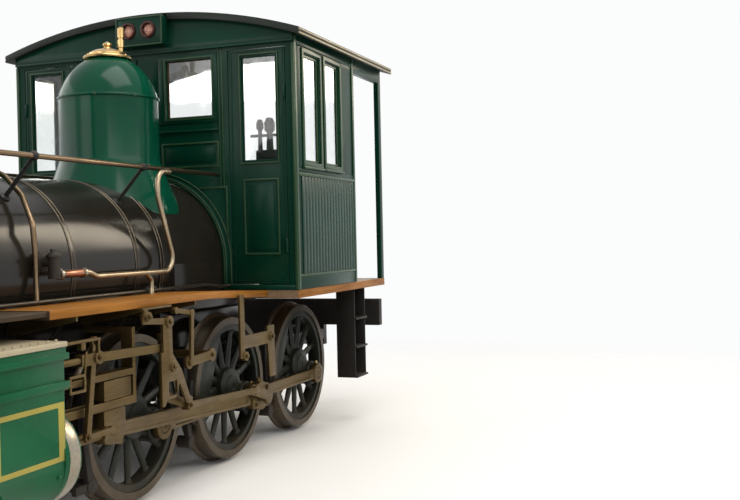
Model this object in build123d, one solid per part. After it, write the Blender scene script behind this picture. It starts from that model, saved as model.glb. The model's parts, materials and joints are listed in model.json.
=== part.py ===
# Steam locomotive with a panelled wooden cab, engine only. Millimetres, +X forward, +Y left, +Z up.
# The origin is the middle of the footprint, at the level the flanges stand on.
from build123d import *
import math
import os

os.makedirs("parts", exist_ok=True)

# Running gear levels
TREAD_R = 548
FLANGE_R = 575
AXLE_Z = FLANGE_R
AXLE_R = 85
BACK_Y = 680
TYRE_W = 140
FACE_Y = BACK_Y + TYRE_W
FLANGE_T = 32
DRIVER_X = (300, -1000, -2300)
CRANK = 254
PIN_R = 52
PONY_X = 2950
PONY_TREAD_R = 360
PONY_FLANGE_R = 387
PONY_PIVOT_X = 1900

# Rod planes, measured outward from the middle
SIDE_Y0 = 842
SIDE_Y1 = 888
PIN_END_Y = 896
MAIN_Y0 = 902
MAIN_Y1 = 962
MAIN_Y = (MAIN_Y0 + MAIN_Y1) / 2
CRANK_ARM_Y0 = 1000
CRANK_ARM_Y1 = 1026
PIN_GAP = 6
UNION_Z = 604
ROD_PLANE_Y0 = 1034
ROD_PLANE_Y1 = 1056
MAIN_ROD_L = 1980

# Frames
FRAME_Y0 = 540
FRAME_Y1 = 600
FRAME_TOP = 800
FRAME_REAR_X = -3350
FRAME_FRONT_X = 3450

# Boiler
BOILER_Z = 1550
BARREL_R = 615
FIREBOX_R = 660
SMOKEBOX_R = 632
SMOKEBOX_X0 = 1480
SMOKEBOX_X1 = 2500
CONE_X0 = -620
CONE_X1 = -300
FIREBOX_BACK_X = -1750
FIREBOX_FRONT_X = -470
FIREBOX_LOW_Z = 1195
GRATE_Z = 720
DOME_X = -650
DOME_R = 374
SAND_X = 1300
SAND_R = 340
CHIMNEY_X = 2060

# Cab
SILL = 1315
CAB_X = -1200
WALL = 45
CAB_HALF = 1316
CAB_REAR_X = -3200
ROOF_LIP = 84
ROOF_FRONT_X = CAB_X + 60
ROOF_REAR_X = CAB_REAR_X - 100
ROOF_CREST = SILL + 2255
ROOF_HALF = CAB_HALF + ROOF_LIP
ROOF_R = 4468
ROOF_T = 55
FASCIA_Z = SILL + 1945

# Running boards
BOARD_Z = SILL + 42
BOARD_T = 50
BOARD_OUT = 1050
BOARD_IN = 664

# Cylinders
COVER_T = 46
CROSS_HALF = 150
CROSS_CLEAR = 24
CYL_X0 = DRIVER_X[1] + MAIN_ROD_L + CRANK + CROSS_HALF + COVER_T
CYL_X1 = CYL_X0 + 690
COVER_R = 268
JACKET_X0 = CYL_X0 + 57
JACKET_X1 = CYL_X1 - 57
CYL_OUT = 1190
CYL_IN = FRAME_Y1
CYL_LOW = 320
CHEST_LOW = 955
CHEST_TOP = 1200
PISTON_ROD_L = 800


def block(x0, x1, y0, y1, z0, z1):
    box = Box(abs(x1 - x0), abs(y1 - y0), abs(z1 - z0))
    return Pos((x0 + x1) / 2, (y0 + y1) / 2, (z0 + z1) / 2) * box


def along_x(x0, x1, y, z, r):
    return Pos((x0 + x1) / 2, y, z) * Rot(0, 90, 0) * Cylinder(r, abs(x1 - x0))


def along_y(y0, y1, x, z, r):
    return Pos(x, (y0 + y1) / 2, z) * Rot(90, 0, 0) * Cylinder(r, abs(y1 - y0))


def along_z(z0, z1, x, y, r):
    return Pos(x, y, (z0 + z1) / 2) * Cylinder(r, abs(z1 - z0))


def plate_xz(points, y0, y1):
    wire = Polyline(*[(x, y0, z) for x, z in points], close=True)
    return extrude(make_face(wire), amount=abs(y1 - y0), dir=(0, 1 if y1 > y0 else -1, 0))


def plate_yz(points, x0, x1):
    wire = Polyline(*[(x0, y, z) for y, z in points], close=True)
    return extrude(make_face(wire), amount=abs(x1 - x0), dir=(1 if x1 > x0 else -1, 0, 0))


def plate_xy(points, z0, z1):
    wire = Polyline(*[(x, y, z0) for x, y in points], close=True)
    return extrude(make_face(wire), amount=abs(z1 - z0), dir=(0, 0, 1 if z1 > z0 else -1))


def turned_x(profile, y, z):
    """Turns (x, r) points about an axis along X."""
    points = [(profile[0][0], 0, 0)] + [(x, 0, r) for x, r in profile] + [(profile[-1][0], 0, 0)]
    face = make_face(Polyline(*points, close=True))
    return Pos(0, y, z) * revolve(face, Axis.X, 360)


def turned_z(profile, x, y):
    """Turns (r, z) points about an upright axis."""
    points = [(0, 0, profile[0][1])] + [(r, 0, z) for r, z in profile] + [(0, 0, profile[-1][1])]
    face = make_face(Polyline(*points, close=True))
    return Pos(x, y, 0) * revolve(face, Axis.Z, 360)


def turned_edges(edges, x, y):
    """Turns a closed chain of edges in the XZ plane about an upright axis."""
    return Pos(x, y, 0) * revolve(make_face(edges), Axis.Z, 360)


def turned_y(profile, x, z, y=0):
    """Turns (y, r) points about an axis along Y."""
    points = [(0, profile[0][0], 0)] + [(r, t, 0) for t, r in profile] + [(0, profile[-1][0], 0)]
    face = make_face(Polyline(*points, close=True))
    return Pos(x, y, z) * revolve(face, Axis.Y, 360)


def other_side(shape):
    return mirror(shape, about=Plane.XZ)


def pipe(points, r, bend):
    wire = FilletPolyline(*points, radius=bend)
    start = wire @ 0
    face = Plane(origin=start, z_dir=wire % 0) * Circle(r)
    return sweep(face, path=wire)


def solids_of(*shapes):
    found = []
    for shape in shapes:
        found.extend(shape.solids())
    return found


def write(name, *shapes):
    export_step(Compound(children=solids_of(*shapes)), "parts/" + name + ".step")


def both(name, *shapes):
    write(name, *shapes, *[other_side(shape) for shape in shapes])


# Coupled wheels. One wheel centre on the left at the origin, then placed.
SPOKES = 13


def wheel(crank_angle, weight_spread, pin_end):
    y0 = BACK_Y
    tyre = turned_y(
        [(y0, FLANGE_R - 14), (y0 + 10, FLANGE_R), (y0 + 22, FLANGE_R - 4), (y0 + FLANGE_T, TREAD_R),
         (FACE_Y, TREAD_R - 5)], 0, 0)
    bore = turned_y([(y0 - 1, 436), (FACE_Y + 1, 436)], 0, 0)
    rim = tyre - bore
    hub = along_y(y0 - 30, FACE_Y + 6, 0, 0, 150)
    arms = []
    arm = plate_xz([(-34, 120), (34, 120), (22, 445), (-22, 445)], y0 + 38, y0 + 96)
    for i in range(SPOKES):
        turn = 360 * (i + 0.5) / SPOKES + crank_angle
        arms.append(Rot(0, turn, 0) * arm)
    cx = CRANK * math.sin(math.radians(crank_angle))
    cz = CRANK * math.cos(math.radians(crank_angle))
    boss = along_y(y0 + 30, FACE_Y + 12, cx, cz, 108)
    web = Rot(0, crank_angle, 0) * Pos(0, y0 + 80, CRANK / 2) * Box(190, 130, CRANK)
    pin = along_y(FACE_Y + 12, pin_end, cx, cz, PIN_R)
    back = crank_angle + 180
    weight = along_y(y0 + 44, y0 + 116, 0, 0, 440) - along_y(y0 + 40, y0 + 120, 0, 0, 300)
    reach = FLANGE_R * 1.5
    wedge_points = [(0, 0)]
    for t in (-weight_spread, -weight_spread / 2, 0, weight_spread / 2, weight_spread):
        a = math.radians(back + t)
        wedge_points.append((reach * math.sin(a), reach * math.cos(a)))
    weight = weight & plate_xz(wedge_points, y0, y0 + 140)
    return rim + [hub, boss, web, weight, pin] + arms


# The crank angle is measured from +Z toward +X: past 180 the crank points behind the axle.
LEFT_CRANK = 247
RIGHT_CRANK = LEFT_CRANK - 90


def crank_offset(side):
    angle = math.radians(LEFT_CRANK if side == "left" else RIGHT_CRANK)
    return CRANK * math.sin(angle), CRANK * math.cos(angle)


def wheelset(x, spread, pin_end):
    left = wheel(LEFT_CRANK, spread, pin_end)
    right = other_side(wheel(RIGHT_CRANK, spread, pin_end))
    axle = along_y(-BACK_Y + 20, BACK_Y - 20, 0, 0, AXLE_R)
    return Pos(x, 0, AXLE_Z) * (axle + [left, right])


# The first axle's pins pass behind the guide bars, so the outer axles' pins end just past the side rod.
SHORT_PIN_Y = SIDE_Y1 + 1
for number, x, spread, pin_end in zip((1, 2, 3), DRIVER_X, (32, 44, 32), (SHORT_PIN_Y, PIN_END_Y, SHORT_PIN_Y)):
    write("driver_wheels_%d" % number, wheelset(x, spread, pin_end))

# Leading wheels
tyre = turned_y(
    [(BACK_Y, PONY_FLANGE_R - 12), (BACK_Y + 10, PONY_FLANGE_R), (BACK_Y + 22, PONY_FLANGE_R - 4),
     (BACK_Y + FLANGE_T, PONY_TREAD_R), (FACE_Y, PONY_TREAD_R - 5)], 0, 0)
pony_wheel = tyre - turned_y([(BACK_Y - 1, 268), (FACE_Y + 1, 268)], 0, 0)
pony_wheel = pony_wheel + [along_y(BACK_Y - 20, FACE_Y, 0, 0, 105)]
pony_wheel = pony_wheel + [Rot(0, 36 * i, 0) * Pos(0, BACK_Y + 66, 185) * Box(44, 56, 190) for i in range(10)]
pony_axle = along_y(-BACK_Y + 10, BACK_Y - 10, 0, 0, 70)
write("pony_wheels", Pos(PONY_X, 0, PONY_FLANGE_R) * (pony_axle + [pony_wheel, other_side(pony_wheel)]))

# Pony truck: two side bars inside the wheels, a cross beam and a radius arm to the pivot pin.
PONY_BAR_Y0 = 440
PONY_BAR_Y1 = 500
bar = block(PONY_X - 330, PONY_X + 330, PONY_BAR_Y0, PONY_BAR_Y1, 470, 560)
bar = bar + block(PONY_X - 130, PONY_X + 130, PONY_BAR_Y0 - 10, PONY_BAR_Y1 + 10, 300, 500)
bar = bar - along_y(PONY_BAR_Y0 - 20, PONY_BAR_Y1 + 20, PONY_X, PONY_FLANGE_R, 72)
truck = bar + [other_side(bar)]
truck = truck + [
    block(PONY_X + 240, PONY_X + 330, -PONY_BAR_Y0, PONY_BAR_Y0, 480, 550),
    block(PONY_X - 330, PONY_X - 240, -PONY_BAR_Y0, PONY_BAR_Y0, 480, 550),
    along_z(550, 640, PONY_X, 0, 110),
    block(PONY_X - 330, PONY_X + 330, -70, 70, 490, 552),
    plate_xy([(PONY_X - 300, 330), (PONY_X - 300, -330), (PONY_PIVOT_X, -60), (PONY_PIVOT_X, 60)], 490, 540),
    along_z(480, 560, PONY_PIVOT_X, 0, 90),
]
truck = truck - along_z(470, 570, PONY_PIVOT_X, 0, 41)
write("pony_truck", truck)

# Main frames with pedestals, cross stretchers and the pony pivot pin
rails = [
    block(FRAME_REAR_X, 2400, FRAME_Y0, FRAME_Y1, 700, FRAME_TOP),
    block(2250, FRAME_FRONT_X, FRAME_Y0, FRAME_Y1, FRAME_TOP - 8, FRAME_TOP + 90),
    block(-2600, 1400, FRAME_Y0, FRAME_Y1, 400, 452),
    block(1300, 1420, FRAME_Y0, FRAME_Y1, 400, 720),
    block(-2660, -2560, FRAME_Y0, FRAME_Y1, 400, 720),
    block(1400, 2300, FRAME_Y0, FRAME_Y1, 620, 720),
]
side = rails[0] + rails[1:]
for x in DRIVER_X:
    side = side + [
        block(x - 215, x - 130, FRAME_Y0, FRAME_Y1, 430, 710),
        block(x + 130, x + 215, FRAME_Y0, FRAME_Y1, 430, 710),
        block(x - 122, x + 122, FRAME_Y0 - 22, FRAME_Y1 + 22, AXLE_Z - 120, AXLE_Z + 120),
        block(x - 132, x + 132, FRAME_Y0 + 4, FRAME_Y1 - 4, AXLE_Z - 100, AXLE_Z + 100),
    ]
for x in DRIVER_X:
    side = side - along_y(FRAME_Y0 - 40, FRAME_Y1 + 40, x, AXLE_Z, AXLE_R + 2)
frames = side + [other_side(side)]
for x0, x1, z0, z1 in (
        (-2900, -2850, 560, 790), (-1720, -1680, 420, 640), (-360, -320, 560, 790), (900, 940, 560, 790),
        (2700, 2760, 800, 880), (FRAME_FRONT_X - 150, FRAME_FRONT_X - 110, 800, 880)):
    frames = frames + [block(x0, x1, -FRAME_Y0 - 10, FRAME_Y0 + 10, z0, z1)]
frames = frames + [
    block(PONY_PIVOT_X - 90, PONY_PIVOT_X + 90, -FRAME_Y0 - 5, FRAME_Y0 + 5, 625, 690),
    along_z(566, 630, PONY_PIVOT_X, 0, 90),
    along_z(440, 600, PONY_PIVOT_X, 0, 39),
]
write("main_frames", frames)

# Leaf springs over the axle boxes, with their saddles and hangers
springs = []
for x in DRIVER_X:
    spring = block(x - 50, x + 50, FRAME_Y0 + 6, FRAME_Y1 - 6, FRAME_TOP, FRAME_TOP + 40)
    for i, half in enumerate((380, 310, 240, 170)):
        spring = spring + block(x - half, x + half, FRAME_Y0 + 6, FRAME_Y1 - 6, FRAME_TOP + 82 - 14 * i,
                                FRAME_TOP + 96 - 14 * i)
    for sign in (-1, 1):
        spring = spring + along_z(FRAME_TOP, FRAME_TOP + 104, x + sign * 350, (FRAME_Y0 + FRAME_Y1) / 2, 13)
    springs += [spring, other_side(spring)]
write("springs", *springs)

# Front beam with its deck and steps, and the rear beam with the drawbar casting
BEAM_LOW = 780
BEAM_TOP = 1030
DECK_REAR_X = 2620
DECK_HALF = 1220
FRAME_MID_Y = (FRAME_Y0 + FRAME_Y1) / 2
beam = block(FRAME_FRONT_X, FRAME_FRONT_X + 80, -1240, 1240, BEAM_LOW, BEAM_TOP)
beam = beam + block(DECK_REAR_X, FRAME_FRONT_X, -DECK_HALF, DECK_HALF, BEAM_TOP - 30, BEAM_TOP)
beam = beam + [block(DECK_REAR_X + 20, FRAME_FRONT_X, y - 30, y + 30, FRAME_TOP + 90, BEAM_TOP - 25)
               for y in (-FRAME_MID_Y, FRAME_MID_Y)]
write("front_beam", beam)
rear = block(FRAME_REAR_X - 80, FRAME_REAR_X, -1200, 1200, 840, 1100)
rear = rear + block(FRAME_REAR_X - 80, FRAME_REAR_X, -600, 600, 640, 850)
DRAW_Z = 760
DRAW_X = FRAME_REAR_X - 290
drawbar = block(FRAME_REAR_X - 300, FRAME_REAR_X - 70, -75, 75, DRAW_Z - 35, DRAW_Z + 35)
drawbar = drawbar + along_z(DRAW_Z - 35, DRAW_Z + 35, DRAW_X, 0, 110)
drawbar = drawbar - along_z(DRAW_Z - 50, DRAW_Z + 50, DRAW_X, 0, 36)
write("rear_beam", rear + [drawbar])

# Front coupler head and its knuckle
COUP_Z = 900
COUP_X = FRAME_FRONT_X + 80
head = block(COUP_X, COUP_X + 90, -70, 70, COUP_Z - 70, COUP_Z + 70)
head = head + plate_xy([(COUP_X + 80, 130), (COUP_X + 80, -80), (COUP_X + 125, -130), (COUP_X + 215, -130),
                        (COUP_X + 215, -95), (COUP_X + 150, -60), (COUP_X + 130, 40), (COUP_X + 130, 130)],
                       COUP_Z - 125, COUP_Z + 125)
lug_hole = (COUP_X + 165, 92)
head = head + [block(COUP_X + 100, COUP_X + 165, 54, 130, z0, z1)
               for z0, z1 in ((COUP_Z - 125, COUP_Z - 80), (COUP_Z + 80, COUP_Z + 125))]
head = head + [along_z(z0, z1, lug_hole[0], lug_hole[1], 38)
               for z0, z1 in ((COUP_Z - 125, COUP_Z - 80), (COUP_Z + 80, COUP_Z + 125))]
head = head - block(COUP_X + 120, COUP_X + 300, 35, 200, COUP_Z - 80, COUP_Z + 80)
head = head - along_z(COUP_Z - 140, COUP_Z + 140, lug_hole[0], lug_hole[1], 19)
write("coupler_head", head)
knuckle = along_z(COUP_Z - 76, COUP_Z + 76, lug_hole[0], lug_hole[1], 34)
knuckle = knuckle + plate_xy([(lug_hole[0] + 4, 124), (lug_hole[0] - 26, 100), (lug_hole[0] - 20, 50),
                              (lug_hole[0] + 20, -15), (lug_hole[0] + 55, -15), (lug_hole[0] + 55, 80)],
                             COUP_Z - 76, COUP_Z + 76)
knuckle = knuckle + along_z(COUP_Z - 132, COUP_Z + 132, lug_hole[0], lug_hole[1], 17)
write("coupler_knuckle", knuckle)

# Boiler: barrel, conical course, round-topped firebox with upright sides, narrow grate part
barrel = turned_x([(FIREBOX_BACK_X, FIREBOX_R), (CONE_X0, FIREBOX_R), (CONE_X1, BARREL_R), (SMOKEBOX_X0, BARREL_R)],
                  0, BOILER_Z)
sides = block(FIREBOX_BACK_X, FIREBOX_FRONT_X, -FIREBOX_R, FIREBOX_R, FIREBOX_LOW_Z, BOILER_Z)
grate = block(FIREBOX_BACK_X, FIREBOX_FRONT_X, -FRAME_Y0 + 12, FRAME_Y0 - 12, GRATE_Z, FIREBOX_LOW_Z + 10)
boiler = barrel + [sides, grate]
for x in (-60, 640):
    boiler = boiler + along_x(x - 22, x + 22, 0, BOILER_Z, BARREL_R + 5)
write("boiler", boiler)

smokebox = along_x(SMOKEBOX_X0, SMOKEBOX_X1, 0, BOILER_Z, SMOKEBOX_R)
smokebox = smokebox + along_x(SMOKEBOX_X1 - 40, SMOKEBOX_X1, 0, BOILER_Z, SMOKEBOX_R + 14)
smokebox = smokebox + along_x(SMOKEBOX_X0, SMOKEBOX_X0 + 40, 0, BOILER_Z, SMOKEBOX_R + 10)
smokebox = smokebox - along_x(SMOKEBOX_X1 - 60, SMOKEBOX_X1 + 10, 0, BOILER_Z, 500)
# The saddle between the cylinders is one casting with the smokebox's floor.
saddle = block(1520, 2160, -FRAME_Y0, FRAME_Y0, 700, 1240)
smokebox = smokebox + (saddle - along_x(SMOKEBOX_X0 - 80, SMOKEBOX_X1, 0, BOILER_Z, SMOKEBOX_R - 20))
write("smokebox", smokebox)

door_profile = [(SMOKEBOX_X1 + 4, 495), (SMOKEBOX_X1 + 26, 495), (SMOKEBOX_X1 + 60, 400), (SMOKEBOX_X1 + 82, 240),
                (SMOKEBOX_X1 + 88, 60)]
smoke_door = turned_x(door_profile, 0, BOILER_Z) + along_x(SMOKEBOX_X1 + 80, SMOKEBOX_X1 + 130, 0, BOILER_Z, 34)
smoke_door = smoke_door + [
    block(SMOKEBOX_X1 + 20, SMOKEBOX_X1 + 46, -566, -380, BOILER_Z + s * 190 - 24, BOILER_Z + s * 190 + 24)
    for s in (-1, 1)]
smoke_door = smoke_door + [
    along_z(BOILER_Z + s * 190 - 24, BOILER_Z + s * 190 + 24, SMOKEBOX_X1 + 33, -566, 24) for s in (-1, 1)]
smoke_door = smoke_door + [Pos(SMOKEBOX_X1 + 120, 0, BOILER_Z) * Rot(25, 0, 0) * Box(18, 24, 300)]
write("smokebox_door", smoke_door)

STACK_TOP = 3480
STACK_BASE = BOILER_Z + 560
chimney = turned_edges([
    Line((0, 0, STACK_BASE), (268, 0, STACK_BASE)), Line((268, 0, STACK_BASE), (268, 0, STACK_BASE + 70)),
    Spline((268, 0, STACK_BASE + 70), (206, 0, STACK_BASE + 140), (180, 0, STACK_BASE + 260),
           tangents=((-0.4, 0, 1), (-0.05, 0, 1))),
    Line((180, 0, STACK_BASE + 260), (172, 0, STACK_TOP - 260)),
    Spline((172, 0, STACK_TOP - 260), (192, 0, STACK_TOP - 150), (238, 0, STACK_TOP - 96),
           tangents=((0, 0, 1), (1, 0, 0.3))),
    ThreePointArc((238, 0, STACK_TOP - 96), (262, 0, STACK_TOP - 66), (238, 0, STACK_TOP - 36)),
    Spline((238, 0, STACK_TOP - 36), (205, 0, STACK_TOP), tangents=((-1, 0, 0.2), (-0.2, 0, 1))),
    Line((205, 0, STACK_TOP), (0, 0, STACK_TOP)), Line((0, 0, STACK_TOP), (0, 0, STACK_BASE))], CHIMNEY_X, 0)
chimney = chimney - along_z(BOILER_Z + 700, STACK_TOP + 10, CHIMNEY_X, 0, 142)
chimney = chimney - along_x(SMOKEBOX_X0 - 80, SMOKEBOX_X1 + 100, 0, BOILER_Z, SMOKEBOX_R + 1)
write("chimney", chimney)

# Domes
SEAT = BOILER_Z
DOME_SEAM = SILL + 1497
DOME_TOP = SILL + 1806
DOME_TOP_R = 150
BEAD = 12


def dome_shape(radius, seam, top, top_r, flare, base, x):
    """A jacketed dome: flared base, straight shell, bead at the seam, round crown."""
    mid = (radius * 0.687, 0, seam + (top - seam) * 0.738)
    return turned_edges([
        Line((0, 0, base), (flare, 0, base)), Line((flare, 0, base), (flare, 0, base + 10)),
        Spline((flare, 0, base + 10), (radius + (flare - radius) * 0.53, 0, base + 185), (radius, 0, base + 440),
               tangents=((-0.45, 0, 1), (0, 0, 1))),
        Line((radius, 0, base + 440), (radius, 0, seam - BEAD)),
        ThreePointArc((radius, 0, seam - BEAD), (radius + BEAD, 0, seam), (radius, 0, seam + BEAD)),
        ThreePointArc((radius, 0, seam + BEAD), mid, (top_r, 0, top)),
        Line((top_r, 0, top), (0, 0, top)), Line((0, 0, top), (0, 0, base))], x, 0)


DOME_FOOT_R = 548
dome = dome_shape(DOME_R, DOME_SEAM, DOME_TOP, DOME_TOP_R, DOME_FOOT_R, SEAT + 370, DOME_X)
dome = dome - turned_x([(-2200, FIREBOX_R + 1), (CONE_X0, FIREBOX_R + 1), (CONE_X1, BARREL_R + 1),
                        (900, BARREL_R + 1)], 0, BOILER_Z)
write("steam_dome", dome)
CROWN_R = 178
CROWN_DRUM_R = 142
ring = turned_edges([
    Line((0, 0, DOME_TOP), (CROWN_R, 0, DOME_TOP)),
    ThreePointArc((CROWN_R, 0, DOME_TOP), (CROWN_R + 8, 0, DOME_TOP + 9), (CROWN_R, 0, DOME_TOP + 18)),
    Spline((CROWN_R, 0, DOME_TOP + 18), (CROWN_DRUM_R + 6, 0, DOME_TOP + 26), (CROWN_DRUM_R, 0, DOME_TOP + 44),
           tangents=((-1, 0, 0.1), (0, 0, 1))),
    Spline((CROWN_DRUM_R, 0, DOME_TOP + 44), (90, 0, DOME_TOP + 70), (34, 0, DOME_TOP + 84),
           tangents=((-0.4, 0, 1), (-1, 0, 0))),
    Line((34, 0, DOME_TOP + 84), (0, 0, DOME_TOP + 84)), Line((0, 0, DOME_TOP + 84), (0, 0, DOME_TOP))], DOME_X, 0)
ring = ring + turned_z([(30, DOME_TOP + 80), (22, DOME_TOP + 100), (36, DOME_TOP + 112), (28, DOME_TOP + 130),
                        (10, DOME_TOP + 142)], DOME_X, 0)
ring = ring + along_z(DOME_TOP + 30, DOME_TOP + 100, DOME_X - 40, 96, 18)
ring = ring + along_z(DOME_TOP + 92, DOME_TOP + 250, DOME_X - 40, 96, 25)
write("dome_brass", ring)
SAND_SEAM = SEAT + 1010
SAND_TOP = SEAT + 1230
sand = dome_shape(SAND_R, SAND_SEAM, SAND_TOP, 120, 450, SEAT + 340, SAND_X)
sand = sand + along_z(SAND_TOP - 5, SAND_TOP + 30, SAND_X, 0, 90)
sand = sand - along_x(CONE_X1, SMOKEBOX_X0, 0, BOILER_Z, BARREL_R + 1)
sand = sand - along_x(SMOKEBOX_X0 - 10, SMOKEBOX_X1, 0, BOILER_Z, SMOKEBOX_R + 12)
write("sand_dome", sand)

# Cab floor, walls and roof
FIREBOX_GAP = 4
floor = block(CAB_REAR_X, CAB_X, -CAB_HALF, CAB_HALF, SILL - 65, SILL)
floor = floor - block(FIREBOX_BACK_X - FIREBOX_GAP, CAB_X + 10, -FIREBOX_R - FIREBOX_GAP, FIREBOX_R + FIREBOX_GAP,
                      SILL - 80, SILL + 10)
write("cab_floor", floor)

under_roof = along_x(-4000, 0, 0, ROOF_CREST - ROOF_R, ROOF_R - ROOF_T - 0.5)
boiler_hole = along_x(-2000, 0, 0, BOILER_Z, FIREBOX_R + FIREBOX_GAP)
boiler_hole = boiler_hole + block(-2000, 0, -FIREBOX_R - FIREBOX_GAP, FIREBOX_R + FIREBOX_GAP, SILL - 100, BOILER_Z)
DOOR_Y0 = 742
DOOR_Y1 = 1236
DOOR_Z0 = SILL + 48
DOOR_Z1 = SILL + 1900
front = block(CAB_X - WALL, CAB_X, -CAB_HALF, CAB_HALF, SILL, ROOF_CREST) & under_roof
front = front - boiler_hole
for s in (-1, 1):
    front = front - block(CAB_X - 60, CAB_X + 10, s * 172, s * 593, SILL + 1392, SILL + 1868)
    front = front - block(CAB_X - 60, CAB_X + 10, s * (DOOR_Y0 - 5), s * (DOOR_Y1 + 5), DOOR_Z0 - 5, DOOR_Z1 + 5)
fascia = block(CAB_X, CAB_X + 22, -CAB_HALF, CAB_HALF, FASCIA_Z, ROOF_CREST) & under_roof
flange = along_x(CAB_X, CAB_X + 20, 0, BOILER_Z, 712) + block(CAB_X, CAB_X + 20, -712, 712, SILL, BOILER_Z)
flange = (flange & block(CAB_X, CAB_X + 20, -800, 800, SILL, BOILER_Z + 800)) - boiler_hole
front = front + [fascia, flange]
write("cab_front", front)

SIDE_REAR_X = -2450
wall = block(SIDE_REAR_X, CAB_X - WALL, CAB_HALF - WALL, CAB_HALF, SILL, ROOF_CREST)
wall = wall + block(CAB_REAR_X + 10, CAB_REAR_X + 80, CAB_HALF - WALL, CAB_HALF, SILL, ROOF_CREST)
wall = wall + block(CAB_REAR_X + 10, SIDE_REAR_X, CAB_HALF - WALL, CAB_HALF, SILL + 1870, ROOF_CREST)
wall = wall & under_roof
WINDOWS = ((CAB_X - 480, CAB_X - 170), (CAB_X - 910, CAB_X - 600))
for x0, x1 in WINDOWS:
    wall = wall - block(x0, x1, CAB_HALF - 100, CAB_HALF + 10, SILL + 1005, SILL + 1868)
write("cab_side_left", wall)
write("cab_side_right", other_side(wall))

LAMP_Z = SILL + 2112
LAMP_Y = 93
LAMP_HALF = 218
roof = along_x(ROOF_REAR_X, ROOF_FRONT_X, 0, ROOF_CREST - ROOF_R, ROOF_R)
roof = roof - along_x(ROOF_REAR_X - 10, ROOF_FRONT_X + 10, 0, ROOF_CREST - ROOF_R, ROOF_R - ROOF_T)
roof = roof & block(ROOF_REAR_X - 5, ROOF_FRONT_X + 5, -ROOF_HALF, ROOF_HALF, SILL + 1700, ROOF_CREST + 10)
roof = roof - block(CAB_X - 5, CAB_X + 200, -LAMP_HALF - 8, LAMP_HALF + 8, LAMP_Z - 212, LAMP_Z + 128)
write("cab_roof", roof)

lamp_box = block(CAB_X + 24, CAB_X + 118, -LAMP_HALF, LAMP_HALF, LAMP_Z - 122, LAMP_Z + 114)
lamp_box = lamp_box + [along_x(CAB_X + 118, CAB_X + 134, y, LAMP_Z, 62) for y in (-LAMP_Y, LAMP_Y)]
lamp_box = lamp_box - [along_x(CAB_X + 112, CAB_X + 140, y, LAMP_Z, 50) for y in (-LAMP_Y, LAMP_Y)]
write("lamp_box", lamp_box)
write("lamp_lenses", *[along_x(CAB_X + 113, CAB_X + 124, y, LAMP_Z, 48.5) for y in (-LAMP_Y, LAMP_Y)])

# Front doors with their glass
leaf = block(CAB_X - 36, CAB_X - 4, DOOR_Y0, DOOR_Y1, DOOR_Z0, DOOR_Z1)
leaf = leaf - block(CAB_X - 60, CAB_X + 10, 856, 1160, SILL + 1016, SILL + 1849)
leaf = leaf + [along_z(DOOR_Z0 + dz, DOOR_Z0 + dz + 110, CAB_X + 6, DOOR_Y1 - 8, 11) for dz in (250, 1450)]
write("cab_door_left", leaf)
write("cab_door_right", other_side(leaf))
pane = block(CAB_X - 23, CAB_X - 17, 856, 1160, SILL + 1016, SILL + 1849)
write("door_glass_left", pane)
write("door_glass_right", other_side(pane))
glass = []
for s in (-1, 1):
    glass.append(block(CAB_X - 26, CAB_X - 20, s * 172, s * 593, SILL + 1392, SILL + 1868))
    for x0, x1 in WINDOWS:
        glass.append(block(x0, x1, s * (CAB_HALF - 26), s * (CAB_HALF - 20), SILL + 1005, SILL + 1868))
write("cab_glass", *glass)

# Backhead fittings in the cab
BH = FIREBOX_BACK_X
fittings = along_x(BH - 60, BH, 0, BOILER_Z - 10, 185)
fittings = fittings + [
    block(BH - 40, BH, -90, 90, BOILER_Z + 250, BOILER_Z + 520),
    along_x(BH - 120, BH, 0, BOILER_Z + 420, 45),
    Pos(BH - 130, 60, BOILER_Z + 380) * Rot(70, 0, 0) * Box(24, 34, 560),
]
gauges = [along_x(BH - 30, BH, y, z, 75) for y, z in ((-330, BOILER_Z + 330), (330, BOILER_Z + 330))]
valves = [along_x(BH - 90, BH, y, z, 30) for y, z in ((-440, BOILER_Z + 60), (440, BOILER_Z + 60), (-300, BOILER_Z + 120), (300, BOILER_Z + 120))]
write("backhead_fittings", fittings, *gauges, *valves)

# Running boards: level over the motion, sloping to the cab sill
RAMP = 900
board = plate_xz([(CAB_X + 2, SILL - 2), (CAB_X + RAMP, BOARD_Z), (CYL_X0, BOARD_Z), (CYL_X0, BOARD_Z - BOARD_T),
                  (CAB_X + RAMP, BOARD_Z - BOARD_T), (CAB_X + 2, SILL - 2 - BOARD_T)], BOARD_IN + 88, BOARD_OUT)
board = board + block(CAB_X + RAMP, CYL_X0, BOARD_IN, BOARD_IN + 100, BOARD_Z - BOARD_T, BOARD_Z)
board = board + block(CYL_X0, 2480, BOARD_IN + 10, BOARD_OUT - 20, BOARD_Z - 34, BOARD_Z - 6)
both("running_boards", board)

# Board brackets carried by the boiler side
brackets = []
for x in (-150, 500, 1150):
    y_at = math.sqrt((BARREL_R + 6) ** 2 - (BOARD_Z - 60 - BOILER_Z) ** 2)
    piece = plate_yz([(y_at - 40, 1195), (y_at - 40, BOARD_Z - BOARD_T), (BOARD_OUT - 30, BOARD_Z - BOARD_T),
                      (BOARD_OUT - 30, BOARD_Z - BOARD_T - 30), (y_at + 60, 1195)], x, x + 16)
    piece = piece - along_x(x - 20, x + 40, 0, BOILER_Z, BARREL_R + 6)
    brackets.append(piece)

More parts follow.
